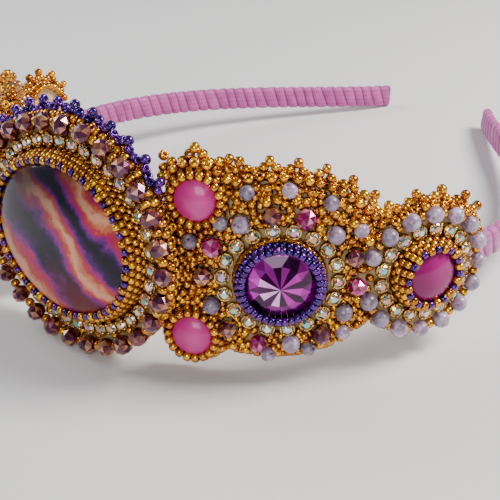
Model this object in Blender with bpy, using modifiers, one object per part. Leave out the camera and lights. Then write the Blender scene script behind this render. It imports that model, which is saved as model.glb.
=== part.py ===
"""Beaded headband: a ribbon-wound hoop with an embroidered front of stones and beads.

The hoop lies in its own level plane: x runs across it, y from its front towards its tips.
The front carries a flat oval medallion and, on each side, a felt that follows the hoop and
holds two small cabochons, a rivoli in a ring of beads and a round end cabochon.
The whole part then leans as it does when it rests on its lower edge and its two tips.
"""

import math

import bmesh
import bpy
import numpy as np
from mathutils import Matrix, Vector

# Hoop, in metres
HOOP_HALF_LENGTH = 0.1922
BAND_WIDTH = 0.0065
BAND_THICKNESS = 0.0030
BAND_CORNER = 0.0009
BAND_DROP = 0.0008
HOOP_STATIONS = 26

# Felt and fits
FELT_THICKNESS = 0.0015
SEAT_GAP = 0.0003
SIDE_GAP = 0.00025
SIDE_FELT_TUCK = 0.0081
SIDE_FELT_STEP = 0.0023

# Medallion: half lengths along the hoop, then half heights
MEDALLION_RISE = 0.0008
OVAL_HALF = (0.0192, 0.0156)
OVAL_GIRDLE = 0.0034
OVAL_HEIGHT = 0.0068
OVAL_BEZEL_HEIGHT = 0.0046
OVAL_SIDES = 32
OVAL_CHAIN_GAP = (0.0004, 0.0003)
OVAL_CHAIN_CUPS = 38
OVAL_BEAD_GAP = (0.00035, 0.00045)
OVAL_BEADS = 28
MEDALLION_FELT_MARGIN = (0.0006, 0.0009)

# Cup chain and beads
CUP_WIDTH = 0.0023
CUP_HEIGHT = 0.0017
CUP_CROWN = 0.0006
CUP_RIM = 0.0005
CHAIN_LINK_WIDTH = 0.0010
CHAIN_LINK_HEIGHT = 0.0008
FACETED_BEAD = 0.0042
RING_BEAD = 0.0036
END_BEAD = 0.0034

# Stones of each side: place along the hoop, place up the panel, radius
SMALL_STEP = 0.0002
SMALL_RISES = (("upper", 0.0148), ("lower", -0.0136))
SMALL_RADIUS = 0.0041
SMALL_GIRDLE = 0.0011
SMALL_HEIGHT = 0.0034
SMALL_BEZEL_HEIGHT = 0.0018
SMALL_SIDES = 14
RIVOLI_STEP = 0.0154
RIVOLI_RISE = -0.0003
RIVOLI_RADIUS = 0.0076
RIVOLI_GIRDLE = 0.0026
RIVOLI_HEIGHT = 0.0050
RIVOLI_TABLE = 0.0004
RIVOLI_BEZEL_HEIGHT = 0.0037
RIVOLI_SIDES = 20
END_GAP = 0.0020
END_RISE = -0.0002
END_RADIUS = 0.0058
END_GIRDLE = 0.0022
END_HEIGHT = 0.0052
END_BEZEL_HEIGHT = 0.0040
END_SIDES = 18
END_CHAIN_GAP = 0.0011
END_BEAD_SPAN = math.radians(157.5)

# Bezel walls: how far the oval's foot stands outside its rim, and the rim's lean inwards
WALL = 0.0009
OVAL_FLARE = (0.0015, 0.0014)
NO_FLARE = (0.0, 0.0)
RIM_LEAN = 0.0005
RIM_DEPTH = 0.0009
RIM_EDGE = 0.0003

# Half section of a rivoli under its table: shares of its radius, girdle height and crown
RIVOLI_SECTION_SHARES = (
    (0.55, 1.00, 0.52),
    (1.00, 1.00, 0.00),
    (0.96, 0.75, 0.00),
    (0.20, 0.00, 0.00),
)

# Picot edging along the top
PICOT_PITCH = 0.0046
PICOT_TIP = 0.0027
PICOT_DIP = 0.0018
EDGING_BACK = 0.0018
EDGING_FRONT = 0.0002
MEDALLION_PICOT_SPAN = (math.radians(39.0), math.radians(141.0))
SIDE_PICOT_LEAD = 0.0017
SIDE_PICOT_END_ANGLE = math.radians(32.0)

# Heading of the hoop along its half length: share of the half length, degrees turned
HOOP_HEADINGS = (
    (0.000, 0.0),
    (0.208, 37.0),
    (0.312, 55.8),
    (0.417, 74.5),
    (0.520, 92.7),
    (0.625, 109.6),
    (0.730, 123.0),
    (0.833, 130.5),
    (0.938, 128.6),
    (1.000, 121.5),
)

# Beads round a rivoli: degrees round it from the hoop's direction, kind of bead
RIVOLI_BEADS = (
    (123, "lilac"),
    (99, "mauve"),
    (74, "rose"),
    (47, "lilac"),
    (22, "mauve"),
    (-4, "rose"),
    (-29, "lilac"),
    (-55, "mauve"),
    (-79, "lilac"),
    (-104, "rose"),
    (-129, "mauve"),
    (-153, "lilac"),
    (153, "rose"),
)

# Finishes: base colour, roughness, metallic
FINISHES = {
    "ribbon": ((0.56, 0.17, 0.39), 0.75, 0.0),
    "felt": ((0.78, 0.66, 0.47), 0.95, 0.0),
    "picture_glass": ((0.45, 0.12, 0.16), 0.08, 0.0),
    "pink_glass": ((0.72, 0.08, 0.30), 0.10, 0.0),
    "magenta_glass": ((0.50, 0.02, 0.20), 0.10, 0.0),
    "fuchsia_crystal": ((0.42, 0.01, 0.36), 0.04, 0.1),
    "clear_crystal": ((0.80, 0.84, 0.82), 0.05, 0.2),
    "gold_bead": ((0.62, 0.28, 0.04), 0.25, 0.7),
    "purple_bead": ((0.11, 0.05, 0.32), 0.22, 0.6),
    "lilac": ((0.42, 0.32, 0.42), 0.55, 0.1),
    "mauve": ((0.20, 0.07, 0.13), 0.18, 0.5),
    "rose": ((0.45, 0.04, 0.20), 0.15, 0.4),
}

FELT_BACK = BAND_THICKNESS / 2 + SEAT_GAP
FELT_FACE = FELT_BACK + FELT_THICKNESS

# Rings of the medallion, each from the one inside it
OVAL_CHAIN_HALF = tuple(
    OVAL_HALF[i] + SIDE_GAP + WALL + OVAL_FLARE[i] + OVAL_CHAIN_GAP[i] + CUP_WIDTH / 2
    for i in (0, 1)
)
OVAL_BEAD_HALF = tuple(
    OVAL_CHAIN_HALF[i] + CUP_WIDTH / 2 + OVAL_BEAD_GAP[i] + FACETED_BEAD / 2 for i in (0, 1)
)
MEDALLION_FELT_HALF = tuple(OVAL_BEAD_HALF[i] + MEDALLION_FELT_MARGIN[i] for i in (0, 1))

# Rings of each side
RIVOLI_CHAIN_RADIUS = RIVOLI_RADIUS + SIDE_GAP + WALL + SIDE_GAP + CUP_WIDTH / 2
BEAD_RING_RADIUS = RIVOLI_CHAIN_RADIUS + CUP_WIDTH / 2 + SEAT_GAP + RING_BEAD / 2
END_CHAIN_RADIUS = END_RADIUS + SIDE_GAP + WALL + END_CHAIN_GAP + CUP_WIDTH / 2
END_BEAD_RADIUS = END_CHAIN_RADIUS + CUP_WIDTH / 2 + SIDE_GAP + END_BEAD / 2

# Places along the hoop, each from the one before it
SIDE_FELT_START = MEDALLION_FELT_HALF[0] - SIDE_FELT_TUCK
SMALL_PLACE = OVAL_BEAD_HALF[0] + SMALL_STEP
RIVOLI_PLACE = SMALL_PLACE + RIVOLI_STEP
END_PLACE = (RIVOLI_PLACE + BEAD_RING_RADIUS + RING_BEAD / 2 + END_GAP
             + END_CHAIN_RADIUS + CUP_WIDTH / 2)

# The middle lobe of a side's felt runs from behind the medallion into the end lobe
LOBE_OVERRUN = 0.0005
MIDDLE_START = SIDE_FELT_START - LOBE_OVERRUN
MIDDLE_STOP = END_PLACE - END_BEAD_RADIUS * 0.585
MIDDLE_PLACE = (MIDDLE_START + MIDDLE_STOP) / 2
MIDDLE_HALF = (MIDDLE_STOP - MIDDLE_START) / 2

# Felt outline of a side, as lobes: place along, place up, half length, half height
UPPER_LOBES = (
    (SMALL_PLACE, SMALL_RISES[0][1], SMALL_RADIUS * 1.61, SMALL_RADIUS * 1.61),
    (MIDDLE_PLACE, RIVOLI_RISE + RIVOLI_RADIUS * 0.20, MIDDLE_HALF, BEAD_RING_RADIUS * 1.418),
    (END_PLACE, END_RISE, END_BEAD_RADIUS * 1.106, END_BEAD_RADIUS * 1.106),
)
LOWER_LOBES = (
    (SMALL_PLACE, SMALL_RISES[1][1], SMALL_RADIUS * 1.56, SMALL_RADIUS * 1.56),
    (MIDDLE_PLACE, RIVOLI_RISE - RIVOLI_RADIUS * 0.04, MIDDLE_HALF, BEAD_RING_RADIUS * 1.239),
    (END_PLACE, END_RISE, END_BEAD_RADIUS * 1.106, END_BEAD_RADIUS * 1.106),
)
END_LOBE_SPAN = (math.radians(-32.0), math.radians(84.0))


def clear_scene():
    """Remove whatever the file opens with."""
    for item in list(bpy.data.objects):
        bpy.data.objects.remove(item, do_unlink=True)


def new_collection(name):
    """Make a collection under the scene's own."""
    group = bpy.data.collections.new(name)
    bpy.context.scene.collection.children.link(group)
    return group


clear_scene()
PARTS = new_collection("beaded_headband")
GUIDES = new_collection("guides")
LEAN = bpy.data.objects.new("lean", None)
PARTS.objects.link(LEAN)


def finish(name):
    """Return the material of that name, made on first use."""
    found = bpy.data.materials.get(name)
    if found:
        return found
    colour, roughness, metallic = FINISHES[name]
    made = bpy.data.materials.new(name)
    made.use_nodes = True
    shader = made.node_tree.nodes["Principled BSDF"]
    shader.inputs["Base Color"].default_value = (*colour, 1.0)
    shader.inputs["Roughness"].default_value = roughness
    shader.inputs["Metallic"].default_value = metallic
    return made


def add_part(name, data, finish_name):
    """Put mesh or curve data into the part under its name."""
    item = bpy.data.objects.new(name, data)
    PARTS.objects.link(item)
    item.parent = LEAN
    data.materials.append(finish(finish_name))
    return item


def hide_as_guide(item):
    """Keep a helper out of renders and out of the part."""
    for group in list(item.users_collection):
        group.objects.unlink(item)
    GUIDES.objects.link(item)
    item.hide_render = True
    item.display_type = "WIRE"


def hoop_curve(samples=1537):
    """Integrate the headings into distance, heading, x and y along half the hoop."""
    shares, degrees = np.array(HOOP_HEADINGS).T
    distance = np.linspace(0.0, HOOP_HALF_LENGTH, samples)
    heading = np.radians(np.interp(distance / HOOP_HALF_LENGTH, shares, degrees))
    middle = (heading[1:] + heading[:-1]) / 2
    step = distance[1] - distance[0]
    x = np.concatenate([[0.0], np.cumsum(np.cos(middle) * step)])
    y = np.concatenate([[0.0], np.cumsum(np.sin(middle) * step)])
    return distance, heading, x, y


HOOP = hoop_curve()


def hoop_frame(side, along):
    """Return the hoop's point, direction and outward normal at a distance from its front."""
    distance, heading, x, y = HOOP
    turned = np.interp(along, distance, heading)
    point = Vector((side * np.interp(along, distance, x), np.interp(along, distance, y), 0.0))
    direction = Vector((side * math.cos(turned), math.sin(turned), 0.0))
    normal = Vector((side * math.sin(turned), -math.cos(turned), 0.0))
    return point, direction, normal


def side_point(side, along, up, lift):
    """Return a point on a side felt's face, raised by a lift."""
    point, _, normal = hoop_frame(side, along)
    return point + normal * (FELT_FACE + lift) + Vector((0.0, 0.0, up))


def flat_point(along, up, lift):
    """Return a point on the flat medallion's face, raised by a lift."""
    return Vector((along, -(FELT_FACE + lift), MEDALLION_RISE + up))


def stand(item, origin, normal):
    """Stand a turned piece on its seat, its own z along the normal and its y upwards."""
    up = Vector((0.0, 0.0, 1.0))
    across = up.cross(normal)
    turn = Matrix((across, up, normal)).transposed()
    item.location = origin
    item.rotation_euler = turn.to_euler()


def turned_part(name, profile, steps, finish_name, stretch=(1.0, 1.0)):
    """Turn a profile of (radius, height) pairs, listed from the top down, about z."""
    data = bpy.data.meshes.new(name)
    points = [(radius, 0.0, height) for radius, height in profile]
    edges = [(i, i + 1) for i in range(len(points) - 1)]
    data.from_pydata(points, edges, [])
    item = add_part(name, data, finish_name)
    screw = item.modifiers.new("turn", "SCREW")
    screw.steps = steps
    screw.render_steps = steps
    screw.use_merge_vertices = True
    screw.merge_threshold = 0.00001
    screw.use_smooth_shade = False
    item.scale = (stretch[0], stretch[1], 1.0)
    return item


def loft_mesh(name, sections, closed):
    """Join sections, each the same number of points round a path, into one closed mesh."""
    work = bmesh.new()
    rows = [[work.verts.new(point) for point in section] for section in sections]
    count = len(rows[0])
    last = len(rows) if closed else len(rows) - 1
    for i in range(last):
        here = rows[i]
        there = rows[(i + 1) % len(rows)]
        for j in range(count):
            k = (j + 1) % count
            work.faces.new((here[j], here[k], there[k], there[j]))
    if not closed:
        work.faces.new(rows[0])
        work.faces.new(rows[-1])
    bmesh.ops.recalc_face_normals(work, faces=work.faces)
    data = bpy.data.meshes.new(name)
    work.to_mesh(data)
    work.free()
    return data


def dome_profile(radius, girdle, height, rows=5):
    """A cabochon's half section: a quarter ellipse over a straight girdle, from the top down."""
    profile = []
    for i in range(rows + 1):
        angle = math.pi / 2 * i / rows
        profile.append((radius * math.sin(angle), girdle + (height - girdle) * math.cos(angle)))
    return profile + [(radius, 0.0), (0.0, 0.0)]


def ellipse_angles(half, count, shift=0.0):
    """Angles that part an ellipse into equal lengths."""
    fine = np.linspace(0.0, 2 * math.pi, 1441)
    x = half[0] * np.cos(fine)
    y = half[1] * np.sin(fine)
    length = np.concatenate([[0.0], np.cumsum(np.hypot(np.diff(x), np.diff(y)))])
    wanted = (np.arange(count) + shift) / count * length[-1] % length[-1]
    return np.interp(wanted, length, fine)


def build_hoop():
    """The wound hoop: a rounded flat section carried along the whole hoop."""
    half_width = BAND_WIDTH / 2
    half_thick = BAND_THICKNESS / 2
    corner = BAND_CORNER
    outline = (
        (half_thick, half_width - corner),
        (half_thick - corner, half_width),
        (corner - half_thick, half_width),
        (-half_thick, half_width - corner),
        (-half_thick, corner - half_width),
        (corner - half_thick, -half_width),
        (half_thick - corner, -half_width),
        (half_thick, corner - half_width),
    )
    sections = []
    for share in np.linspace(-1.0, 1.0, 2 * HOOP_STATIONS - 1):
        side = -1.0 if share < 0 else 1.0
        point, _, normal = hoop_frame(side, abs(share) * HOOP_HALF_LENGTH)
        sections.append([point + normal * a + Vector((0, 0, b - BAND_DROP)) for a, b in outline])
    add_part("hoop_band", loft_mesh("hoop_band", sections, closed=False), "ribbon")


def add_felt(name, outline_back, felt_faces):
    """Thicken an open sheet of felt from its back face outwards."""
    data = bpy.data.meshes.new(name)
    data.from_pydata(outline_back, [], felt_faces)
    item = add_part(name, data, "felt")
    wall = item.modifiers.new("wall", "SOLIDIFY")
    wall.thickness = FELT_THICKNESS
    wall.offset = 1.0
    return item


def build_medallion_felt(sides=44):
    """The medallion's flat oval of felt."""
    angles = ellipse_angles(MEDALLION_FELT_HALF, sides)
    half_along, half_up = MEDALLION_FELT_HALF
    rim = [
        flat_point(half_along * math.cos(a), half_up * math.sin(a), -FELT_THICKNESS)
        for a in angles
    ]
    add_felt("medallion_felt", rim, [tuple(range(sides))])


def lobe_edge(along, lobes, sign):
    """The outermost edge of a set of lobes at a distance along the hoop."""
    reach = []
    for place, rise, half_along, half_up in lobes:
        share = (along - place) / half_along
        if abs(share) < 1.0:
            reach.append(sign * rise + half_up * math.sqrt(1.0 - share * share))
    return sign * max(reach)


def side_stations():
    """Distances along a side felt, close together where its outline turns."""
    place, _, radius, _ = UPPER_LOBES[-1]
    rounded = place + radius * np.sin(np.linspace(*END_LOBE_SPAN, 12))
    count = round((rounded[0] - SIDE_FELT_START) / SIDE_FELT_STEP)
    straight = np.linspace(SIDE_FELT_START, rounded[0], count, endpoint=False)
    return list(straight) + list(rounded)


def build_side_felt(name, side):
    """A side's felt, which follows the hoop inside a lobed outline."""
    points = []
    faces = []
    for i, along in enumerate(side_stations()):
        for lobes, sign in ((UPPER_LOBES, 1), (LOWER_LOBES, -1)):
            points.append(side_point(side, along, lobe_edge(along, lobes, sign), -FELT_THICKNESS))
        if i:
            face = (2 * i - 2, 2 * i - 1, 2 * i + 1, 2 * i)
            faces.append(face if side > 0 else face[::-1])
    add_felt(name, points, faces)


def rim_share(stone, girdle, top, height):
    """Share of its radius that a stone keeps at a height, or where the rim's lean ends."""
    rise = max(0.0, (height - SEAT_GAP - girdle) / (top - girdle))
    return max(math.sqrt(1.0 - rise * rise), 1.0 - RIM_LEAN / stone[0])


def bezel_sections(foot, seat, stone, girdle, top, flare, height, count):
    """Sections of a beaded wall: its foot follows the felt and its rim leans over the stone."""
    sections = []
    inner = (stone[0] + SIDE_GAP, stone[1] + SIDE_GAP)
    under = height - RIM_DEPTH
    lip_share = rim_share(stone, girdle, top, height)
    under_share = rim_share(stone, girdle, top, under)
    for angle in ellipse_angles(stone, count):
        c = math.cos(angle)
        s = math.sin(angle)
        out = (inner[0] + WALL + flare[0], inner[1] + WALL + flare[1])
        rim = (inner[0] + WALL, inner[1] + WALL)
        lip = (stone[0] * lip_share + SIDE_GAP, stone[1] * lip_share + SIDE_GAP)
        neck = (stone[0] * under_share + SIDE_GAP, stone[1] * under_share + SIDE_GAP)
        sections.append([
            foot(out[0] * c, out[1] * s, SEAT_GAP),
            seat(rim[0] * c, rim[1] * s, height - RIM_EDGE),
            seat((rim[0] - RIM_EDGE) * c, (rim[1] - RIM_EDGE) * s, height),
            seat(lip[0] * c, lip[1] * s, height),
            seat(neck[0] * c, neck[1] * s, under),
            foot(inner[0] * c, inner[1] * s, SEAT_GAP),
        ])
    return sections


def chain_section(point, angle, radii, half_width, height):
    """One section of a plain chain ring: a flat-footed bar with a narrower top."""
    section = []
    for off, lift in ((-1, SEAT_GAP), (-1, CUP_HEIGHT), (-0.5, height), (0.5, height),
                      (1, CUP_HEIGHT), (1, SEAT_GAP)):
        reach = (radii[0] + off * half_width, radii[1] + off * half_width)
        section.append(point(reach[0] * math.cos(angle), reach[1] * math.sin(angle), lift))
    return section


def build_oval():
    """The medallion's cabochon and its beaded wall."""
    profile = dome_profile(1.0, OVAL_GIRDLE, OVAL_HEIGHT, rows=5)
    stone = turned_part("oval_cabochon", profile, OVAL_SIDES, "picture_glass", OVAL_HALF)
    stand(stone, flat_point(0.0, 0.0, SEAT_GAP), Vector((0.0, -1.0, 0.0)))
    sections = bezel_sections(flat_point, flat_point, OVAL_HALF, OVAL_GIRDLE, OVAL_HEIGHT,
                              OVAL_FLARE, OVAL_BEZEL_HEIGHT, OVAL_SIDES)
    add_part("oval_bezel", loft_mesh("oval_bezel", sections, closed=True), "gold_bead")


def cup_mesh(places):
    """All the cups of a chain with their cut stones: an eight-sided cup, crown and table."""
    work = bmesh.new()
    up = Vector((0.0, 0.0, 1.0))
    normal = Vector((0.0, -1.0, 0.0))
    for centre, angle in places:
        across = up.cross(normal)
        turn = Matrix((across, up, normal)).transposed().to_4x4()
        spin = Matrix.Rotation(angle, 4, "Z")
        made = bmesh.ops.create_cone(
            work, cap_ends=True, segments=8, radius1=CUP_WIDTH / 2, radius2=CUP_WIDTH / 2,
            depth=CUP_HEIGHT, matrix=Matrix.Translation(centre) @ turn @ spin)
        faces = {face for vert in made["verts"] for face in vert.link_faces}
        top = max(faces, key=lambda face: face.calc_center_median().dot(normal))
        bmesh.ops.inset_individual(work, faces=[top], thickness=CUP_RIM, depth=CUP_CROWN)
    data = bpy.data.meshes.new("oval_cups")
    work.to_mesh(data)
    work.free()
    return data


def build_oval_chain():
    """The rhinestone chain round the medallion: cups joined to a link ring."""
    angles = ellipse_angles(OVAL_CHAIN_HALF, OVAL_CHAIN_CUPS)
    places = []
    for angle in angles:
        centre = flat_point(OVAL_CHAIN_HALF[0] * math.cos(angle),
                            OVAL_CHAIN_HALF[1] * math.sin(angle), SEAT_GAP + CUP_HEIGHT / 2)
        places.append((centre, angle + math.pi / 8))
    cups = bpy.data.objects.new("oval_cups", cup_mesh(places))
    cups.parent = LEAN
    hide_as_guide(cups)
    sections = []
    for angle in ellipse_angles(OVAL_CHAIN_HALF, OVAL_CHAIN_CUPS):
        section = []
        for off, lift in ((-1, 0.4), (-1, 1), (1, 1), (1, 0.4)):
            reach = [half + off * CHAIN_LINK_WIDTH / 2 for half in OVAL_CHAIN_HALF]
            section.append(flat_point(reach[0] * math.cos(angle), reach[1] * math.sin(angle),
                                      SEAT_GAP + CHAIN_LINK_HEIGHT * lift))
        sections.append(section)
    item = add_part("oval_cup_chain", loft_mesh("oval_cup_chain", sections, closed=True),
                    "clear_crystal")
    join = item.modifiers.new("cups", "BOOLEAN")
    join.operation = "UNION"
    join.solver = "EXACT"
    join.object = cups


def build_oval_beads(sides=6):
    """The ring of faceted beads, strung close: each swells from a neck to a flat belt."""
    radius = FACETED_BEAD / 2
    lift = SEAT_GAP + radius
    belt = 0.20
    neck = 0.30
    steps = 20
    sections = []
    fine = ellipse_angles(OVAL_BEAD_HALF, OVAL_BEADS * steps)
    for bead in range(OVAL_BEADS):
        for offset, size in ((-0.5, neck), (-belt, 1.0), (belt, 1.0)):
            angle = fine[round((bead + offset) * steps) % len(fine)]
            c = math.cos(angle)
            s = math.sin(angle)
            outward = Vector((c / OVAL_BEAD_HALF[0], 0.0, s / OVAL_BEAD_HALF[1])).normalized()
            centre = flat_point(OVAL_BEAD_HALF[0] * c, OVAL_BEAD_HALF[1] * s, lift)
            section = []
            for k in range(sides):
                turn = 2 * math.pi * (k + 0.5) / sides
                arm = outward * math.cos(turn) + Vector((0, -1, 0)) * math.sin(turn)
                section.append(centre + arm * (radius * size))
            sections.append(section)
    add_part("oval_bead_ring", loft_mesh("oval_bead_ring", sections, closed=True), "mauve")


def build_round_bezel(name, side, place, rise, stone, height, count, finish_name):
    """A round stone's beaded wall on a side felt; the stone is (radius, girdle, top)."""
    point, direction, normal = hoop_frame(side, place)
    base = point + normal * FELT_FACE + Vector((0.0, 0.0, rise))

    def foot(u, v, lift):
        return side_point(side, place + u, rise + v, lift)

    def seat(u, v, lift):
        return base + direction * u + Vector((0.0, 0.0, v)) + normal * lift

    radius, girdle, top = stone
    sections = bezel_sections(foot, seat, (radius, radius), girdle, top,
                              NO_FLARE, height, count)
    add_part(name, loft_mesh(name, sections, closed=True), finish_name)


def build_round_chain(name, side, place, rise, radius, count):
    """A plain ring where a rhinestone chain runs round a stone."""

    def point(u, v, lift):
        return side_point(side, place + u, rise + v, lift)

    sections = [
        chain_section(point, 2 * math.pi * i / count, (radius, radius), CUP_WIDTH / 2,
                      CUP_HEIGHT + CUP_CROWN)
        for i in range(count)
    ]
    add_part(name, loft_mesh(name, sections, closed=True), "clear_crystal")


def seat_stone(item, side, place, rise):
    """Set a turned stone on a side felt."""
    _, _, normal = hoop_frame(side, place)
    stand(item, side_point(side, place, rise, SEAT_GAP), normal)


def build_small_stones(label, side):
    """The two small cabochons beside the medallion."""
    for level, rise in SMALL_RISES:
        name = f"{label}_{level}_cabochon"
        profile = dome_profile(SMALL_RADIUS, SMALL_GIRDLE, SMALL_HEIGHT, rows=4)
        stone = turned_part(name, profile, SMALL_SIDES, "pink_glass")
        seat_stone(stone, side, SMALL_PLACE, rise)
        build_round_bezel(f"{label}_{level}_bezel", side, SMALL_PLACE, rise,
                          (SMALL_RADIUS, SMALL_GIRDLE, SMALL_HEIGHT), SMALL_BEZEL_HEIGHT,
                          SMALL_SIDES, "gold_bead")


def build_rivoli(label, side):
    """The rivoli, its beaded wall and its rhinestone chain."""
    crown = RIVOLI_HEIGHT - RIVOLI_GIRDLE
    profile = [(0.0, RIVOLI_HEIGHT), (RIVOLI_TABLE, RIVOLI_HEIGHT)]
    for out, girdle_share, crown_share in RIVOLI_SECTION_SHARES:
        lift = RIVOLI_GIRDLE * girdle_share + crown * crown_share
        profile.append((RIVOLI_RADIUS * out, lift))
    profile.append((0.0, 0.0))
    stone = turned_part(f"{label}_rivoli", profile, 16, "fuchsia_crystal")
    seat_stone(stone, side, RIVOLI_PLACE, RIVOLI_RISE)
    build_round_bezel(f"{label}_rivoli_bezel", side, RIVOLI_PLACE, RIVOLI_RISE,
                      (RIVOLI_RADIUS, RIVOLI_GIRDLE, RIVOLI_HEIGHT), RIVOLI_BEZEL_HEIGHT,
                      RIVOLI_SIDES, "purple_bead")
    build_round_chain(f"{label}_rivoli_cup_chain", side, RIVOLI_PLACE, RIVOLI_RISE,
                      RIVOLI_CHAIN_RADIUS, RIVOLI_SIDES)


def build_ring_beads(label, side):
    """The separate beads round a rivoli: smooth lilac ones and faceted mauve and rose ones."""
    for number, (degrees, kind) in enumerate(RIVOLI_BEADS, start=1):
        angle = math.radians(degrees)
        place = RIVOLI_PLACE + BEAD_RING_RADIUS * math.cos(angle)
        rise = RIVOLI_RISE + BEAD_RING_RADIUS * math.sin(angle)
        name = f"{label}_{kind}_bead_{number}"
        segments, rings = (10, 5) if kind == "lilac" else (8, 4)
        work = bmesh.new()
        bmesh.ops.create_uvsphere(work, u_segments=segments, v_segments=rings,
                                  radius=RING_BEAD / 2)
        data = bpy.data.meshes.new(name)
        work.to_mesh(data)
        work.free()
        item = add_part(name, data, kind)
        _, _, normal = hoop_frame(side, place)
        stand(item, side_point(side, place, rise, SEAT_GAP + RING_BEAD / 2), normal)


def build_end(label, side):
    """The round end cabochon with its wall, rhinestone chain and open ring of beads."""
    profile = dome_profile(END_RADIUS, END_GIRDLE, END_HEIGHT, rows=4)
    stone = turned_part(f"{label}_end_cabochon", profile, END_SIDES, "magenta_glass")
    seat_stone(stone, side, END_PLACE, END_RISE)
    build_round_bezel(f"{label}_end_bezel", side, END_PLACE, END_RISE,
                      (END_RADIUS, END_GIRDLE, END_HEIGHT), END_BEZEL_HEIGHT, END_SIDES,
                      "gold_bead")
    build_round_chain(f"{label}_end_cup_chain", side, END_PLACE, END_RISE,
                      END_CHAIN_RADIUS, END_SIDES)
    sections = []
    radius = END_BEAD / 2
    sides = 6
    for angle in np.linspace(-END_BEAD_SPAN, END_BEAD_SPAN, 20):
        section = []
        for k in range(sides):
            turn = 2 * math.pi * (k + 0.5) / sides
            reach = END_BEAD_RADIUS + radius * math.cos(turn)
            section.append(side_point(side, END_PLACE + reach * math.cos(angle),
                                      END_RISE + reach * math.sin(angle),
                                      SEAT_GAP + radius + radius * math.sin(turn)))
        sections.append(section)
    name = f"{label}_end_bead_ring"
    add_part(name, loft_mesh(name, sections, closed=False), "lilac")


def picot_stations(path):
    """Points and outward directions along a path, two to a picot, with each one's reach."""
    path = np.array(path)
    steps = np.hypot(*np.diff(path, axis=0).T)
    length = np.concatenate([[0.0], np.cumsum(steps)])
    picots = max(2, round(length[-1] / PICOT_PITCH))
    wanted = np.linspace(0.0, length[-1], 2 * picots + 1)
    points = np.stack([np.interp(wanted, length, path[:, k]) for k in (0, 1)], axis=1)
    ahead = np.gradient(points, axis=0)
    outward = np.stack([-ahead[:, 1], ahead[:, 0]], axis=1)
    outward /= np.linalg.norm(outward, axis=1)[:, None]
    reach = np.where(np.arange(len(points)) % 2, PICOT_TIP, PICOT_DIP)
    return points, outward, reach


def build_edging(name, path, point, finish_name):
    """A scalloped strip outside a felt's edge, one picot after another."""
    sections = []
    for (along, up), (da, du), reach in zip(*picot_stations(path)):
        section = []
        for off, lift in ((SEAT_GAP, -EDGING_BACK), (SEAT_GAP, EDGING_FRONT),
                          (reach, EDGING_FRONT), (reach, -EDGING_BACK)):
            section.append(point(along + da * off, up + du * off, lift))
        sections.append(section)
    add_part(name, loft_mesh(name, sections, closed=False), finish_name)


def build_medallion_edging():
    """The purple picots over the top of the medallion, from its left to its right."""
    half_along, half_up = MEDALLION_FELT_HALF
    start, stop = MEDALLION_PICOT_SPAN
    angles = np.linspace(stop, start, 200)
    path = [(half_along * math.cos(a), half_up * math.sin(a)) for a in angles]
    build_edging("medallion_edging", path, flat_point, "purple_bead")


def build_side_edging(label, side):
    """The gold picots over the top of a side, out to the end cabochon's far side."""
    place, _, radius, _ = UPPER_LOBES[-1]
    stop = place + radius * math.cos(SIDE_PICOT_END_ANGLE)
    path = [(along, lobe_edge(along, UPPER_LOBES, 1))
            for along in side_stations()
            if SIDE_FELT_START + SIDE_PICOT_LEAD < along < stop]

    def point(along, up, lift):
        return side_point(side, along, up, lift)

    build_edging(f"{label}_edging", path, point, "gold_bead")


def evaluated_points():
    """All the part's corners, with its modifiers, in the hoop's own frame."""
    graph = bpy.context.evaluated_depsgraph_get()
    found = []
    for item in PARTS.objects:
        if item.type != "MESH":
            continue
        data = item.evaluated_get(graph).data
        place = item.matrix_world
        found.extend(place @ vert.co for vert in data.vertices)
    return np.array(found)


def rest_on_floor():
    """Lean the part until its front and its tips reach one floor, centred over the origin."""
    bpy.context.view_layer.update()
    points = evaluated_points()
    front = points[:, 1] < 0.25 * points[:, 1].max()
    tips = points[:, 1] > 0.75 * points[:, 1].max()
    lean = 0.0
    for _ in range(12):
        height = points[:, 1] * math.sin(lean) + points[:, 2] * math.cos(lean)
        low_front = np.flatnonzero(front)[height[front].argmin()]
        low_tip = np.flatnonzero(tips)[height[tips].argmin()]
        run = points[low_tip] - points[low_front]
        lean = -math.atan2(run[2], run[1])
    turn = Matrix.Rotation(lean, 3, "X")
    leant = points @ np.array(turn).T
    middle = (leant.max(axis=0) + leant.min(axis=0)) / 2
    LEAN.rotation_euler = (lean, 0.0, 0.0)
    LEAN.location = (-middle[0], -middle[1], -leant[:, 2].min())


build_hoop()
build_medallion_felt()
build_oval()
build_oval_chain()
build_oval_beads()
build_medallion_edging()
for LABEL, SIDE in (("left", -1), ("right", 1)):
    build_side_felt(f"{LABEL}_felt", SIDE)
    build_small_stones(LABEL, SIDE)
    build_rivoli(LABEL, SIDE)
    build_ring_beads(LABEL, SIDE)
    build_end(LABEL, SIDE)
    build_side_edging(LABEL, SIDE)
rest_on_floor()
bpy.context.view_layer.update()
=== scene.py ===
"""Beaded headband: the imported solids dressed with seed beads, stones, chain and ribbon."""

import logging
import math
from dataclasses import dataclass, field
from enum import Enum
from typing import Optional, Sequence

import bmesh
import bpy
import numpy as np
from mathutils import Matrix, Vector


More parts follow.
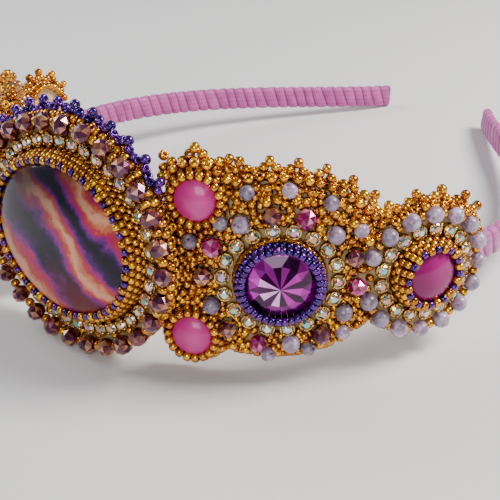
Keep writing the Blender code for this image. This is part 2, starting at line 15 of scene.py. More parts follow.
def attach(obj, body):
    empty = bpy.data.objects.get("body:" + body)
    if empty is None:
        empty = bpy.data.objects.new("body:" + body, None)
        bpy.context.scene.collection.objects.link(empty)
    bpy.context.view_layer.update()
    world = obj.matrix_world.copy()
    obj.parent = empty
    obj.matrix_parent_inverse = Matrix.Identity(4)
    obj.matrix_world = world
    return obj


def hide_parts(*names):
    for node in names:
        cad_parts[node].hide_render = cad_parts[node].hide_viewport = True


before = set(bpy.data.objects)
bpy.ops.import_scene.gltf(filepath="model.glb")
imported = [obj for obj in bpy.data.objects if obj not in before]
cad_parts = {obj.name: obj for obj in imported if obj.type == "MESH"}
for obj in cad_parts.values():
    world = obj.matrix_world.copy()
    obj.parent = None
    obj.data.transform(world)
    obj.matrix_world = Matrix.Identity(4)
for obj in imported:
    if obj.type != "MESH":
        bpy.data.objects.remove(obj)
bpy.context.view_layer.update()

log = logging.getLogger("beaded_headband")

Colour = tuple[float, float, float]
Stops = Sequence[tuple[float, Colour]]
Socket = bpy.types.NodeSocket
Value = float | Colour | Socket
Inputs = dict[str | int, Value]
SEED = 20817
MM = 0.001


# Hoop, as in the part's source
@dataclass(frozen=True)
class Hoop:
    """The hoop's centreline in its own level plane and how that plane leans at rest.

    Attributes:
        half_length: length of one leg from the crown, in metres.
        headings: (share of the half length, degrees turned) along a leg.
        lean: turn about X of the resting hoop, in radians.
        offset: where the crown's centre rests, in metres.
        felt_face: height of the felts' faces over the centreline.
        medallion_rise: how far the medallion's centre stands over the hoop's plane.
    """

    half_length: float = 0.1922
    headings: tuple[tuple[float, float], ...] = (
        (0.000, 0.0), (0.208, 37.0), (0.312, 55.8), (0.417, 74.5), (0.520, 92.7),
        (0.625, 109.6), (0.730, 123.0), (0.833, 130.5), (0.938, 128.6), (1.000, 121.5),
    )
    lean: float = -0.13541719
    offset: tuple[float, float, float] = (0.0, -0.06625854, 0.02344685)
    felt_face: float = 0.0033
    medallion_rise: float = 0.0008

    def leg(self, samples: int = 3073) -> tuple[np.ndarray, ...]:
        """Integrate the headings along one leg.

        Args:
            samples: number of even steps, plus one.

        Returns:
            Distance, heading, x and y at each sample.
        """
        shares, degrees = np.array(self.headings).T
        distance = np.linspace(0.0, self.half_length, samples)
        heading = np.radians(np.interp(distance / self.half_length, shares, degrees))
        middle = (heading[1:] + heading[:-1]) / 2
        step = distance[1] - distance[0]
        x = np.concatenate([[0.0], np.cumsum(np.cos(middle) * step)])
        y = np.concatenate([[0.0], np.cumsum(np.sin(middle) * step)])
        return distance, heading, x, y

    def turn(self, vectors: np.ndarray) -> np.ndarray:
        """Turn vectors of the hoop's own frame into the resting frame."""
        return vectors @ np.array(Matrix.Rotation(self.lean, 3, "X")).T

    def place(self, points: np.ndarray) -> np.ndarray:
        """Move points of the hoop's own frame into the resting frame."""
        return self.turn(points) + np.array(self.offset)

    def frames(self, side: int, along: np.ndarray) -> tuple[np.ndarray, ...]:
        """Give the centreline at distances from the crown, in the hoop's own frame.

        Args:
            side: 1 for the right leg, -1 for the left.
            along: (N,) distances in metres; below zero they run on along the other leg.

        Returns:
            Points, directions and outward normals, each (N, 3).
        """
        distance, heading, x, y = LEG
        reach = np.abs(along)
        turned = np.interp(reach, distance, heading)
        hand = side * np.where(along < 0, -1.0, 1.0)
        flat = np.zeros_like(turned)
        point = np.stack([hand * np.interp(reach, distance, x), np.interp(reach, distance, y),
                          flat], axis=1)
        ahead = np.where(along < 0, -1.0, 1.0)
        direction = np.stack([hand * np.cos(turned), np.sin(turned), flat], axis=1)
        direction *= ahead[:, None]
        normal = np.stack([hand * np.sin(turned), -np.cos(turned), flat], axis=1)
        return point, direction, normal


HOOP = Hoop()
LEG = HOOP.leg()


def unit(vectors: np.ndarray) -> np.ndarray:
    """Scale each row to length one."""
    return vectors / np.maximum(np.linalg.norm(vectors, axis=1), 1e-12)[:, None]


class Panel:
    """A surface that beads lie on, with coordinates along the hoop, up, and out of it."""

    def point(self, u: np.ndarray, v: np.ndarray, lift: np.ndarray) -> np.ndarray:
        """Resting positions of panel coordinates."""
        raise NotImplementedError

    def axes(self, u: np.ndarray) -> tuple[np.ndarray, ...]:
        """Resting directions of the panel's three coordinates at each place along it."""
        raise NotImplementedError

    def vector(self, u: np.ndarray, local: np.ndarray) -> np.ndarray:
        """Turn local (along, up, out) vectors into unit vectors of the resting frame."""
        along, up, out = self.axes(u)
        return unit(along * local[:, :1] + up * local[:, 1:2] + out * local[:, 2:])


class FlatPanel(Panel):
    """The medallion's flat face."""

    def point(self, u: np.ndarray, v: np.ndarray, lift: np.ndarray) -> np.ndarray:
        """Resting positions over the flat felt."""
        own = np.stack([u, -(HOOP.felt_face + lift + 0 * u), HOOP.medallion_rise + v], axis=1)
        return HOOP.place(own)

    def axes(self, u: np.ndarray) -> tuple[np.ndarray, ...]:
        """The same three directions everywhere."""
        turned = HOOP.turn(np.array([[1.0, 0, 0], [0, 0, 1.0], [0, -1.0, 0]]))
        return tuple(np.ones((len(u), 1)) * direction for direction in turned)


@dataclass
class SidePanel(Panel):
    """A side felt's face, which follows the hoop.

    Attributes:
        side: 1 for the right, -1 for the left.
    """

    side: int

    def point(self, u: np.ndarray, v: np.ndarray, lift: np.ndarray) -> np.ndarray:
        """Resting positions over the curved felt.

        Args:
            u: (N,) places along the hoop.
            v: (N,) heights over its plane.
            lift: (N,) distances out from the felt's face.

        Returns:
            (N, 3) positions.
        """
        point, _, normal = HOOP.frames(self.side, u)
        own = point + normal * (HOOP.felt_face + lift + 0 * u)[:, None]
        own[:, 2] += v
        return HOOP.place(own)

    def axes(self, u: np.ndarray) -> tuple[np.ndarray, ...]:
        """Directions along the hoop, up, and out of it.

        Args:
            u: (N,) places along the hoop.

        Returns:
            Three (N, 3) arrays of unit vectors.
        """
        _, direction, normal = HOOP.frames(self.side, u)
        up = np.ones((len(u), 1)) * np.array([[0.0, 0.0, 1.0]])
        return HOOP.turn(direction), HOOP.turn(up), HOOP.turn(normal)


@dataclass
class SeatPanel(SidePanel):
    """The flat seat of a round stone on a side felt.

    Attributes:
        place: the stone's centre along the hoop.
        rise: the stone's centre above the hoop's plane.
    """

    place: float
    rise: float

    def point(self, u: np.ndarray, v: np.ndarray, lift: np.ndarray) -> np.ndarray:
        """Resting positions over the plane that touches the felt at the stone's centre.

        Args:
            u: (N,) places along the seat, from the stone's centre.
            v: (N,) places up the seat.
            lift: (N,) distances out from the felt's face.

        Returns:
            (N, 3) positions.
        """
        point, direction, normal = HOOP.frames(self.side, np.array([self.place]))
        own = point + direction * u[:, None] + normal * (HOOP.felt_face + lift + 0 * u)[:, None]
        own[:, 2] += self.rise + v
        return HOOP.place(own)

    def axes(self, u: np.ndarray) -> tuple[np.ndarray, ...]:
        """The seat's directions, the same all over it."""
        return super().axes(np.full(len(u), self.place))


# Meshes
@dataclass
class Form:
    """A small shape that is repeated, about its own z axis.

    Attributes:
        corners: (V, 3) corners for a radius of one.
        loops: corner numbers of all the faces, one after another.
        totals: number of corners of each face.
        patch: (V,) random share of the facet that a corner belongs to.
        smooth: whether faces blend into one another.
    """

    corners: np.ndarray
    loops: np.ndarray
    totals: np.ndarray
    patch: np.ndarray
    smooth: bool = True


def write_mesh(name: str, corners: np.ndarray, loops: np.ndarray, totals: np.ndarray,
               smooth: bool, shade: Optional[np.ndarray] = None,
               uv: Optional[np.ndarray] = None) -> bpy.types.Object:
    """Write whole arrays into a new mesh object.

    Args:
        name: the object's name.
        corners: (V, 3) corners.
        loops: (L,) corner numbers.
        totals: (F,) corners of each face.
        smooth: whether it is smooth shaded.
        shade: (V,) values kept as the attribute shade.
        uv: (V, 2) coordinates of each corner.

    Returns:
        The linked object.
    """
    data = bpy.data.meshes.new(name)
    data.vertices.add(len(corners))
    data.vertices.foreach_set("co", corners.astype(np.float32).ravel())
    data.loops.add(len(loops))
    data.loops.foreach_set("vertex_index", loops.astype(np.int32))
    data.polygons.add(len(totals))
    starts = np.concatenate([[0], np.cumsum(totals)[:-1]]).astype(np.int32)
    data.polygons.foreach_set("loop_start", starts)
    data.polygons.foreach_set("use_smooth", np.full(len(totals), smooth))
    data.update(calc_edges=True)
    if shade is not None:
        data.attributes.new("shade", "FLOAT", "POINT").data.foreach_set(
            "value", shade.astype(np.float32))
    if uv is not None:
        layer = data.uv_layers.new(name="UVMap")
        layer.data.foreach_set("uv", uv[loops].astype(np.float32).ravel())
    item = bpy.data.objects.new(name, data)
    bpy.context.scene.collection.objects.link(item)
    return item


def grid_faces(rows: int, columns: int, wrap_rows: bool = False) -> np.ndarray:
    """Corner numbers of a grid's four-sided faces, where each row closes on itself.

    Args:
        rows: number of rows of corners.
        columns: number of corners in a row.
        wrap_rows: whether the last row joins the first.

    Returns:
        (F, 4) corner numbers.
    """
    i = np.arange(rows if wrap_rows else rows - 1)[:, None]
    j = np.arange(columns)[None, :]
    k = (j + 1) % columns
    below = (i + 1) % rows
    faces = np.stack([i * columns + j, i * columns + k, below * columns + k,
                      below * columns + j], axis=-1)
    return faces.reshape(-1, 4)


def capped_tube(rows: int, columns: int) -> tuple[np.ndarray, np.ndarray]:
    """Faces of a tube of closed rings, with a flat cap at each end.

    Args:
        rows: number of rings.
        columns: corners of a ring.

    Returns:
        Corner numbers of all the faces, and the corners of each face.
    """
    faces = grid_faces(rows, columns)
    first = np.arange(columns)
    loops = np.concatenate([faces.ravel(), first[::-1], first + (rows - 1) * columns])
    return loops, np.concatenate([np.full(len(faces), 4), [columns, columns]])


def lathe_form(profile: Sequence[tuple[float, float]], sides: int, closed: bool) -> Form:
    """Turn a profile about z.

    Args:
        profile: (radius, height) pairs from the bottom up.
        sides: number of sides.
        closed: whether the profile's ends meet, as round a hole.

    Returns:
        The form.
    """
    radius, height = np.array(profile).T
    angle = np.linspace(0, 2 * np.pi, sides, endpoint=False)
    corners = np.stack([radius[:, None] * np.cos(angle), radius[:, None] * np.sin(angle),
                        height[:, None] + 0 * angle], axis=-1).reshape(-1, 3)
    faces = grid_faces(len(profile), sides, wrap_rows=closed)
    return Form(corners, faces.ravel(), np.full(len(faces), 4), np.zeros(len(corners)))


def cut_form(rings: Sequence[tuple[float, float, int, float]], seed: int) -> Form:
    """Cut a stone or bead: the hull of a few rings of points, each facet on its own.

    Args:
        rings: (radius, height, points, turn as a share of a step) of each ring.
        seed: seed of the facets' random shares.

    Returns:
        The form.
    """
    work = bmesh.new()
    for radius, height, count, turn in rings:
        for step in range(count):
            angle = 2 * math.pi * (step + turn) / count
            work.verts.new((radius * math.cos(angle), radius * math.sin(angle), height))
    hull = bmesh.ops.convex_hull(work, input=work.verts)
    spare = [v for v in hull["geom_interior"] if isinstance(v, bmesh.types.BMVert)]
    bmesh.ops.delete(work, geom=spare, context="VERTS")
    bmesh.ops.dissolve_limit(work, angle_limit=0.02, verts=work.verts, edges=work.edges)
    bmesh.ops.recalc_face_normals(work, faces=work.faces)
    share = np.random.default_rng(seed).random(len(work.faces))
    corners = np.array([v.co for face in work.faces for v in face.verts])
    totals = np.array([len(face.verts) for face in work.faces])
    work.free()
    return Form(corners, np.arange(len(corners)), totals, np.repeat(share, totals), False)


def rivoli_cut() -> Form:
    """The rivoli: sixteen wedges round a point, kites outside them and a thin girdle.

    The wedges take dark and bright shares by turns, as their pairs mirror light from behind.

    Returns:
        The form, with each facet's share in its patch.
    """
    made = cut_form(((0.012, 1.0, 16, 0.0), (0.55, 0.76, 16, 0.0), (0.82, 0.62, 16, 0.5),
                     (1.0, 0.50, 32, 0.0), (0.97, 0.40, 32, 0.0), (0.3, 0.0, 8, 0.0)), SEED + 2)
    starts = np.concatenate([[0], np.cumsum(made.totals)[:-1]])
    middle = np.add.reduceat(made.corners, starts, axis=0) / made.totals[:, None]
    wedge = np.hypot(middle[:, 0], middle[:, 1]) < 0.5
    sector = np.floor(np.arctan2(middle[:, 1], middle[:, 0]) / (math.pi / 8)).astype(int)
    share = made.patch[starts]
    turns = np.where(sector % 2 == 0, 0.18 * share, 0.46 + 0.44 * share)
    made.patch = np.repeat(np.where(wedge, turns, 0.60 * share ** 1.5), made.totals)
    return made


class Shape(Enum):
    """The small shapes that are repeated."""

    SEED = "seed"
    CYLINDER = "cylinder"
    ROUND = "round"
    FACETED = "faceted"
    CUP = "cup"
    CHATON = "chaton"


def round_profile(rows: int, hole: float) -> list[tuple[float, float]]:
    """Half section of a drilled round bead, from its lower hole to its upper one."""
    angles = np.linspace(math.asin(hole), math.pi - math.asin(hole), rows)
    return [(math.sin(a), -math.cos(a)) for a in angles]


def cup_form() -> Form:
    """A chain's cup: a flared wall with four prongs that bend over the stone.

    Returns:
        The form, open at its top where the stone sits.
    """
    wall = lathe_form(((0.0, -0.02), (0.78, 0.0), (0.90, 0.32), (1.0, 0.95), (0.93, 1.05),
                       (0.76, 0.92)), 16, False)
    corners, loops, totals = [wall.corners], [wall.loops], [wall.totals]
    section = np.array([(1.03, -0.21, 0.7), (1.03, 0.21, 0.7), (0.96, 0.18, 1.24),
                        (0.96, -0.18, 1.24), (0.62, -0.13, 1.40), (0.62, 0.13, 1.40),
                        (0.60, 0.13, 1.26), (0.60, -0.13, 1.26)])
    faces = np.array([(0, 1, 2, 3), (3, 2, 5, 4), (4, 5, 6, 7), (7, 6, 1, 0), (1, 6, 5, 2),
                      (0, 3, 4, 7)])
    count = len(wall.corners)
    for prong in range(4):
        turn = np.array(Matrix.Rotation(math.pi / 2 * (prong + 0.5), 3, "Z"))
        corners.append(section @ turn.T)
        loops.append((faces + count).ravel())
        totals.append(np.full(len(faces), 4))
        count += len(section)
    joined = np.concatenate(corners)
    return Form(joined, np.concatenate(loops), np.concatenate(totals), np.zeros(len(joined)))


def make_forms() -> dict[Shape, Form]:
    """Make every repeated shape once.

    Returns:
        Shape to form.
    """
    seed = ((0.36, -0.58), (0.70, -0.70), (0.97, -0.34), (0.97, 0.34), (0.70, 0.70),
            (0.36, 0.58))
    tube = ((0.48, -0.78), (0.84, -0.84), (1.0, -0.66), (1.0, 0.66), (0.84, 0.84),
            (0.48, 0.78))
    return {
        Shape.SEED: lathe_form(seed[::-1], 10, True),
        Shape.CYLINDER: lathe_form(tube[::-1], 10, True),
        Shape.ROUND: lathe_form(round_profile(9, 0.22), 14, True),
        Shape.FACETED: cut_form(((0.34, -0.86, 8, 0.5), (0.86, -0.48, 8, 0.0),
                                 (0.99, 0.0, 8, 0.5), (0.86, 0.48, 8, 0.0),
                                 (0.34, 0.86, 8, 0.5)), SEED),
        Shape.CUP: cup_form(),
        Shape.CHATON: cut_form(((0.2, 0.1, 8, 0.0), (0.82, 0.86, 16, 0.0),
                                (0.82, 0.94, 16, 0.0), (0.64, 1.18, 8, 0.5),
                                (0.38, 1.34, 8, 0.0)), SEED + 1),
    }


FORMS = make_forms()


@dataclass
class Batch:
    """Repeats of one shape, gathered for one joined mesh.

    Attributes:
        shape: which shape is repeated.
        draw: random generator of the batch's spins and shades.
        points: centres, as (N, 3) arrays.
        axes: directions of the shape's z axis.
        sides: directions of the shape's x axis.
        sizes: radii and half lengths.
        shades: random share of each repeat.
    """

    shape: Shape
    draw: np.random.Generator
    points: list[np.ndarray] = field(default_factory=list)
    axes: list[np.ndarray] = field(default_factory=list)
    sides: list[np.ndarray] = field(default_factory=list)
    sizes: list[np.ndarray] = field(default_factory=list)
    shades: list[np.ndarray] = field(default_factory=list)

    def add(self, points: np.ndarray, axes: np.ndarray, size: float,
            length: float = 1.0, sides: Optional[np.ndarray] = None,
            spread: float = 0.05) -> None:
        """Add repeats.

        Args:
            points: (N, 3) centres.
            axes: (N, 3) directions of the hole or the face.
            size: radius in metres.
            length: length as a share of the radius's own scale.
            sides: (N, 3) directions of the x axis, or None for random spins.
            spread: how far single sizes differ.
        """
        count = len(points)
        axes = unit(axes)
        if sides is None:
            helper = unit(self.draw.normal(size=(count, 3)))
            sides = np.cross(axes, helper)
        sides = unit(sides - axes * np.sum(sides * axes, axis=1)[:, None])
        each = size * (1 + spread * self.draw.uniform(-1, 1, count))
        self.points.append(points)
        self.axes.append(axes)
        self.sides.append(sides)
        self.sizes.append(np.stack([each, each * length], axis=1))
        self.shades.append(self.draw.random(count))

    def build(self, name: str, slot: str, material: bpy.types.Material,
              stands_for: Sequence[str] = ()) -> bpy.types.Object:
        """Join every repeat into one mesh on the part's body.

        Each corner is its centre plus the form's corner along three directions, worked out
        for all repeats at once.

        Args:
            name: the piece's name.
            slot: the record's material slot, not used.
            material: its material.
            stands_for: solids that the piece stands for.

        Returns:
            The piece.
        """
        form = FORMS[self.shape]
        points, axes = np.concatenate(self.points), np.concatenate(self.axes)
        sides, sizes = np.concatenate(self.sides), np.concatenate(self.sizes)
        across = np.cross(axes, sides)
        local = form.corners
        corners = (points[:, None]
                   + sides[:, None] * (sizes[:, None, :1] * local[None, :, :1])
                   + across[:, None] * (sizes[:, None, :1] * local[None, :, 1:2])
                   + axes[:, None] * (sizes[:, None, 1:] * local[None, :, 2:]))
        count = len(points)
        loops = (form.loops[None] + len(local) * np.arange(count)[:, None]).ravel()
        shade = (np.concatenate(self.shades)[:, None] + form.patch[None]) % 1.0
        item = write_mesh(name, corners.reshape(-1, 3), loops, np.tile(form.totals, count),
                          form.smooth, shade=shade.ravel())
        return dress(item, material, stands_for)


def dress(item: bpy.types.Object, material: bpy.types.Material,
          stands_for: Sequence[str] = ()) -> bpy.types.Object:
    """Give a piece its material and body.

    Args:
        item: the piece.
        material: its material.
        stands_for: solids that it stands for.

    Returns:
        The piece.
    """
    item.data.materials.append(material)
    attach(item, "root")
    if stands_for:
        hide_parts(*stands_for)
    log.info("%s: %d faces", item.name, len(item.data.polygons))
    return item


# Materials
class Graph:
    """A node tree that is built by short calls."""

    def __init__(self, tree: bpy.types.NodeTree) -> None:
        """Keep the tree to build in."""
        self.tree = tree

    def feed(self, node: bpy.types.Node, inputs: Inputs) -> None:
        """Set or link a node's inputs. A plain colour gets its alpha here.

        Args:
            node: the node.
            inputs: socket name or number to a constant or a socket to link from.
        """
        for key, value in inputs.items():
            socket = node.inputs[key]
            if isinstance(value, Socket):
                self.tree.links.new(value, socket)
            elif socket.type == "RGBA":
                socket.default_value = (*value, 1.0)
            else:
                socket.default_value = value

    def node(self, kind: str, inputs: Optional[Inputs] = None,
             **settings: object) -> bpy.types.Node:
        """Add a node.

        Args:
            kind: the node's type.
            inputs: its inputs, as feed takes them.
            **settings: properties of the node.

        Returns:
            The node.
        """
        made = self.tree.nodes.new(kind)
        for key, value in settings.items():
            setattr(made, key, value)
        self.feed(made, inputs or {})
        return made

    def math(self, operation: str, *values: float | Socket) -> Socket:
        """One step of arithmetic."""
        return self.node("ShaderNodeMath", dict(enumerate(values)), operation=operation).outputs[0]

    def span(self, value: Socket, start: float, stop: float, low: float = 0.0,
             high: float = 1.0, kind: str = "LINEAR") -> Socket:
        """Carry a value's stretch from start to stop over to low to high."""
        inputs = dict(enumerate((value, start, stop, low, high)))
        return self.node("ShaderNodeMapRange", inputs, interpolation_type=kind).outputs[0]

    def mix(self, share: Socket, first: Value, second: Value) -> Socket:
        """Mix two colours, which are the node's inputs 6 and 7."""
        inputs = {0: share, 6: first, 7: second}
        return self.node("ShaderNodeMix", inputs, data_type="RGBA").outputs[2]

    def bend(self, share: float, first: Socket, second: Socket) -> Socket:
        """Mix two vectors, which are the node's inputs 4 and 5."""
        inputs = {0: share, 4: first, 5: second}
        return self.node("ShaderNodeMix", inputs, data_type="VECTOR").outputs[1]

    def ramp(self, share: Socket, stops: Stops) -> Socket:
        """A colour ramp.

        Args:
            share: socket that drives it.
            stops: (place, colour) pairs in order.

        Returns:
            The colour's socket.
        """
        made = self.node("ShaderNodeValToRGB", {0: share})
        band = made.color_ramp
        for _ in range(len(stops) - 2):
            band.elements.new(0.5)
        for element, (place, colour) in zip(band.elements, stops):
            element.position = place
            element.color = (*colour, 1.0)
        return made.outputs[0]

    def noise(self, vector: Socket, scale: float | Socket, detail: float = 3.0,
              roughness: float = 0.5, output: str = "Fac") -> Socket:
        """Noise as a value, or as a colour with the output Color."""
        inputs = {"Vector": vector, "Scale": scale, "Detail": detail, "Roughness": roughness}
        return self.node("ShaderNodeTexNoise", inputs).outputs[output]

    def bump(self, height: Socket, strength: float, distance: float) -> Socket:
        """Relief from a height."""
        inputs = {"Height": height, "Strength": strength, "Distance": distance}
        return self.node("ShaderNodeBump", inputs).outputs[0]

    def mapped(self, vector: Socket, **changes: Sequence[float]) -> Socket:
        """A vector moved, turned or scaled."""
        return self.node("ShaderNodeMapping", {"Vector": vector, **changes}).outputs[0]

    def parts(self, vector: Socket) -> Sequence[Socket]:
        """The three numbers of a vector."""
        return self.node("ShaderNodeSeparateXYZ", {0: vector}).outputs

    def coordinates(self, name: str = "Object") -> Socket:
        """Texture coordinates by name."""
        return self.node("ShaderNodeTexCoord").outputs[name]

    def shade(self) -> Socket:
        """The share that the mesh keeps for each bead or facet."""
        return self.node("ShaderNodeAttribute", attribute_name="shade").outputs["Fac"]

    def facing(self, blend: float) -> Socket:
        """How far the surface turns away from the eye."""
        return self.node("ShaderNodeLayerWeight", {"Blend": blend}).outputs["Facing"]

    def group(self, tree: bpy.types.NodeTree, inputs: Optional[Inputs] = None) -> bpy.types.Node:
        """Use a shared node group."""
        return self.node("ShaderNodeGroup", inputs, node_tree=tree)


def new_group(name: str, inputs: dict[str, str],
              outputs: dict[str, str]) -> tuple[Graph, bpy.types.Node, bpy.types.Node]:
    """Start a shared node group.

    Args:
        name: the group's name.
        inputs: input name to socket type.
        outputs: output name to socket type.

    Returns:
        Its graph, its input node and its output node.
    """
    tree = bpy.data.node_groups.new(name, "ShaderNodeTree")
    for side, sockets in (("INPUT", inputs), ("OUTPUT", outputs)):
        for key, kind in sockets.items():
            tree.interface.new_socket(key, in_out=side, socket_type=kind)
    graph = Graph(tree)
    return graph, graph.node("NodeGroupInput"), graph.node("NodeGroupOutput")


FLOAT, RGBA, VECTOR = "NodeSocketFloat", "NodeSocketColor", "NodeSocketVector"


class Effects:
    """The shader node groups that the materials share."""

    def __init__(self) -> None:
        """Build every group once."""
        self.tone = self.make_tone()
        self.speckle = self.make_speckle()
        self.fibre = self.make_fibre()
        self.weave = self.make_weave()
        self.marble = self.make_marble()
        self.wear = self.make_wear()

    @staticmethod
    def make_tone() -> bpy.types.NodeTree:
        """Colour of a bead: face to edge colour, then lighter or darker bead by bead. Where the
        edge colour is darker than the face, it is partly painted shade on the bead's rim.

        Returns:
            The group.
        """
        graph, start, end = new_group("bead_tone", {
            "Face": RGBA, "Edge": RGBA, "Facing": FLOAT, "Shade": FLOAT, "Spread": FLOAT},
            {"Colour": RGBA})
        # Edge colour mixed in at grazing angles; a darker edge colour here is painted shade on the
        # rim
        body = graph.mix(start.outputs["Facing"], start.outputs["Face"], start.outputs["Edge"])
        centred = graph.math("SUBTRACT", start.outputs["Shade"], 0.5)
        swing = graph.math("MULTIPLY", centred, start.outputs["Spread"])
        value = graph.math("MULTIPLY_ADD", swing, 2.0, 1.0)
        hue = graph.math("MULTIPLY_ADD", swing, 0.09, 0.5)
        toned = graph.node("ShaderNodeHueSaturation", {"Hue": hue, "Value": value, "Color": body})
        graph.feed(end, {"Colour": toned.outputs[0]})
        return graph.tree

    @staticmethod
    def make_speckle() -> bpy.types.NodeTree:
        """Stone-like glass: cloudy patches under small dark specks.

        Returns:
            The group.
        """
        graph, start, end = new_group("speckle", {
            "Base": RGBA, "Cloud": RGBA, "Speck": RGBA, "Scale": FLOAT},
            {"Colour": RGBA, "Mask": FLOAT})
        place = graph.coordinates()
        scale = start.outputs["Scale"]
        cloud = graph.span(graph.noise(place, scale), 0.40, 0.60)
        body = graph.mix(cloud, start.outputs["Base"], start.outputs["Cloud"])
        spots = graph.noise(place, graph.math("MULTIPLY", scale, 3.1), 2.0)
        mask = graph.span(spots, 0.60, 0.68)
        graph.feed(end, {"Colour": graph.mix(mask, body, start.outputs["Speck"]), "Mask": mask})
        return graph.tree

    @staticmethod
    def make_fibre() -> bpy.types.NodeTree:
        """Felt: matted fibres as stretched noise, in colour and in relief.

        Returns:
            The group.
        """
        graph, start, end = new_group("felt_fibre", {"Base": RGBA, "Deep": RGBA},
                                      {"Colour": RGBA, "Normal": VECTOR})
        place = graph.coordinates()
        mats = graph.noise(place, 900.0, 5.0, 0.7)
        across = graph.mapped(place, Rotation=(0.4, 0.9, 0.3), Scale=(500.0, 3200.0, 1400.0))
        hair = graph.noise(across, 1.0, 2.0, 0.55)
        both = graph.math("MULTIPLY_ADD", hair, 0.5, graph.math("MULTIPLY", mats, 0.6))
        body = graph.mix(both, start.outputs["Deep"], start.outputs["Base"])
        graph.feed(end, {"Colour": body, "Normal": graph.bump(both, 0.6, 0.0004)})
        return graph.tree

    @staticmethod
    def make_weave() -> bpy.types.NodeTree:
        """Ribbon: fine cords along its length crossed by thread, in colour and in relief, with
        painted shade in the grooves between turns.

        The first coordinate counts the turns of ribbon, so its whole numbers are the grooves.

        Returns:
            The group.
        """
        graph, start, end = new_group("ribbon_weave", {
            "Base": RGBA, "Deep": RGBA, "Cords": FLOAT, "Threads": FLOAT},
            {"Colour": RGBA, "Normal": VECTOR})
        turn, around, _ = graph.parts(graph.coordinates("UV"))
        strands = graph.math("MULTIPLY", turn, start.outputs["Cords"])
        cord = graph.math("SINE", graph.math("MULTIPLY", strands, 2 * math.pi))
        thread = graph.math("SINE", graph.math("MULTIPLY", around, start.outputs["Threads"]))
        cloud = graph.noise(graph.coordinates(), 260.0, 4.0, 0.55)
        relief = graph.math("MULTIPLY_ADD", thread, 0.25, graph.math("MULTIPLY", cord, 0.35))
        share = graph.math("MULTIPLY_ADD", relief, 0.30, cloud)
        # Painted shade: the grooves between turns take the Deep colour
        painted_groove_shade = graph.span(graph.math("PINGPONG", turn, 0.5), 0.0, 0.14)
        body = graph.mix(share, start.outputs["Deep"], start.outputs["Base"])
        graph.feed(end, {"Colour": graph.mix(painted_groove_shade, start.outputs["Deep"], body),
                         "Normal": graph.bump(relief, 0.35, 0.00008)})
        return graph.tree

    @staticmethod
    def make_marble() -> bpy.types.NodeTree:
        """Marbled layers: warped bands of rose, violet, peach and charcoal.

        The bands are a wave along a slanting line, bent by two sizes of noise. The place on
        the stone lays charcoal over one corner and coral over the other.

        Returns:
            The group.
        """
        graph, _, end = new_group("marbled_layers", {}, {"Colour": RGBA})
        uv = graph.coordinates("UV")
        moved = graph.bend(0.30, uv, graph.noise(uv, 2.3, 2.0, 0.45, "Color"))
        ruffled = graph.bend(0.085, moved, graph.noise(uv, 13.0, 6.0, 0.62, "Color"))
        slanted = graph.mapped(ruffled, Location=(0.1, 0.35, 0.0), Rotation=(0.0, 0.0, 0.62))
        bands = graph.node("ShaderNodeTexWave", {
            "Vector": slanted, "Scale": 1.30, "Distortion": 5.0, "Detail": 6.0,
            "Detail Scale": 1.5, "Detail Roughness": 0.58}, wave_type="BANDS",
            bands_direction="Y")
        colour = graph.ramp(bands.outputs["Fac"], (
            (0.00, (0.006, 0.007, 0.013)), (0.10, (0.022, 0.006, 0.045)),
            (0.28, (0.095, 0.010, 0.17)), (0.46, (0.28, 0.018, 0.20)),
            (0.64, (0.46, 0.022, 0.10)), (0.80, (0.50, 0.060, 0.045)),
            (0.93, (0.62, 0.19, 0.09)), (1.00, (0.74, 0.36, 0.22))))
        across, up, _ = graph.parts(moved)
        corner = graph.math("SUBTRACT", graph.math("MULTIPLY", up, 1.25),
                            graph.math("MULTIPLY", across, 0.85))
        warm = graph.mix(graph.span(up, 0.42, 0.12, 0.0, 0.55), colour, (0.42, 0.05, 0.06))
        dark = graph.span(corner, 0.18, 0.60, 0.0, 0.88)
        graph.feed(end, {"Colour": graph.mix(dark, warm, (0.020, 0.017, 0.024))})
        return graph.tree

    @staticmethod
    def make_wear() -> bpy.types.NodeTree:
        """Handling: faint smears and dust as a change of roughness.

        Returns:
            The group.
        """
        graph, start, end = new_group("smears", {
            "Roughness": FLOAT, "Amount": FLOAT, "Scale": FLOAT}, {"Roughness": FLOAT})
        cloud = graph.noise(graph.coordinates(), start.outputs["Scale"], 4.0, 0.6)
        made = graph.math("MULTIPLY_ADD", graph.span(cloud, 0.35, 0.75),
                          start.outputs["Amount"], start.outputs["Roughness"])
        graph.feed(end, {"Roughness": made})
        return graph.tree


EFFECTS = Effects()


def smeared(graph: Graph, roughness: float, amount: float, scale: float) -> Socket:
    """Roughness with smears and dust added to it."""
    inputs = {"Roughness": roughness, "Amount": amount, "Scale": scale}
    return graph.group(EFFECTS.wear, inputs).outputs[0]


@dataclass(frozen=True)
class Finish:
    """What every finish has: a name and how to build its material.

    Attributes:
        name: the material's name.
    """

    name: str

    def inputs(self, graph: Graph) -> Inputs:
        """The inputs of the finish's shader."""
        raise NotImplementedError

    def build(self) -> bpy.types.Material:
        """Build the material: one Principled shader with the finish's inputs.

        Returns:
            The material.
        """
        made = bpy.data.materials.new(self.name)
        made.use_nodes = True
        graph = Graph(made.node_tree)
        graph.feed(made.node_tree.nodes["Principled BSDF"], self.inputs(graph))
        return made


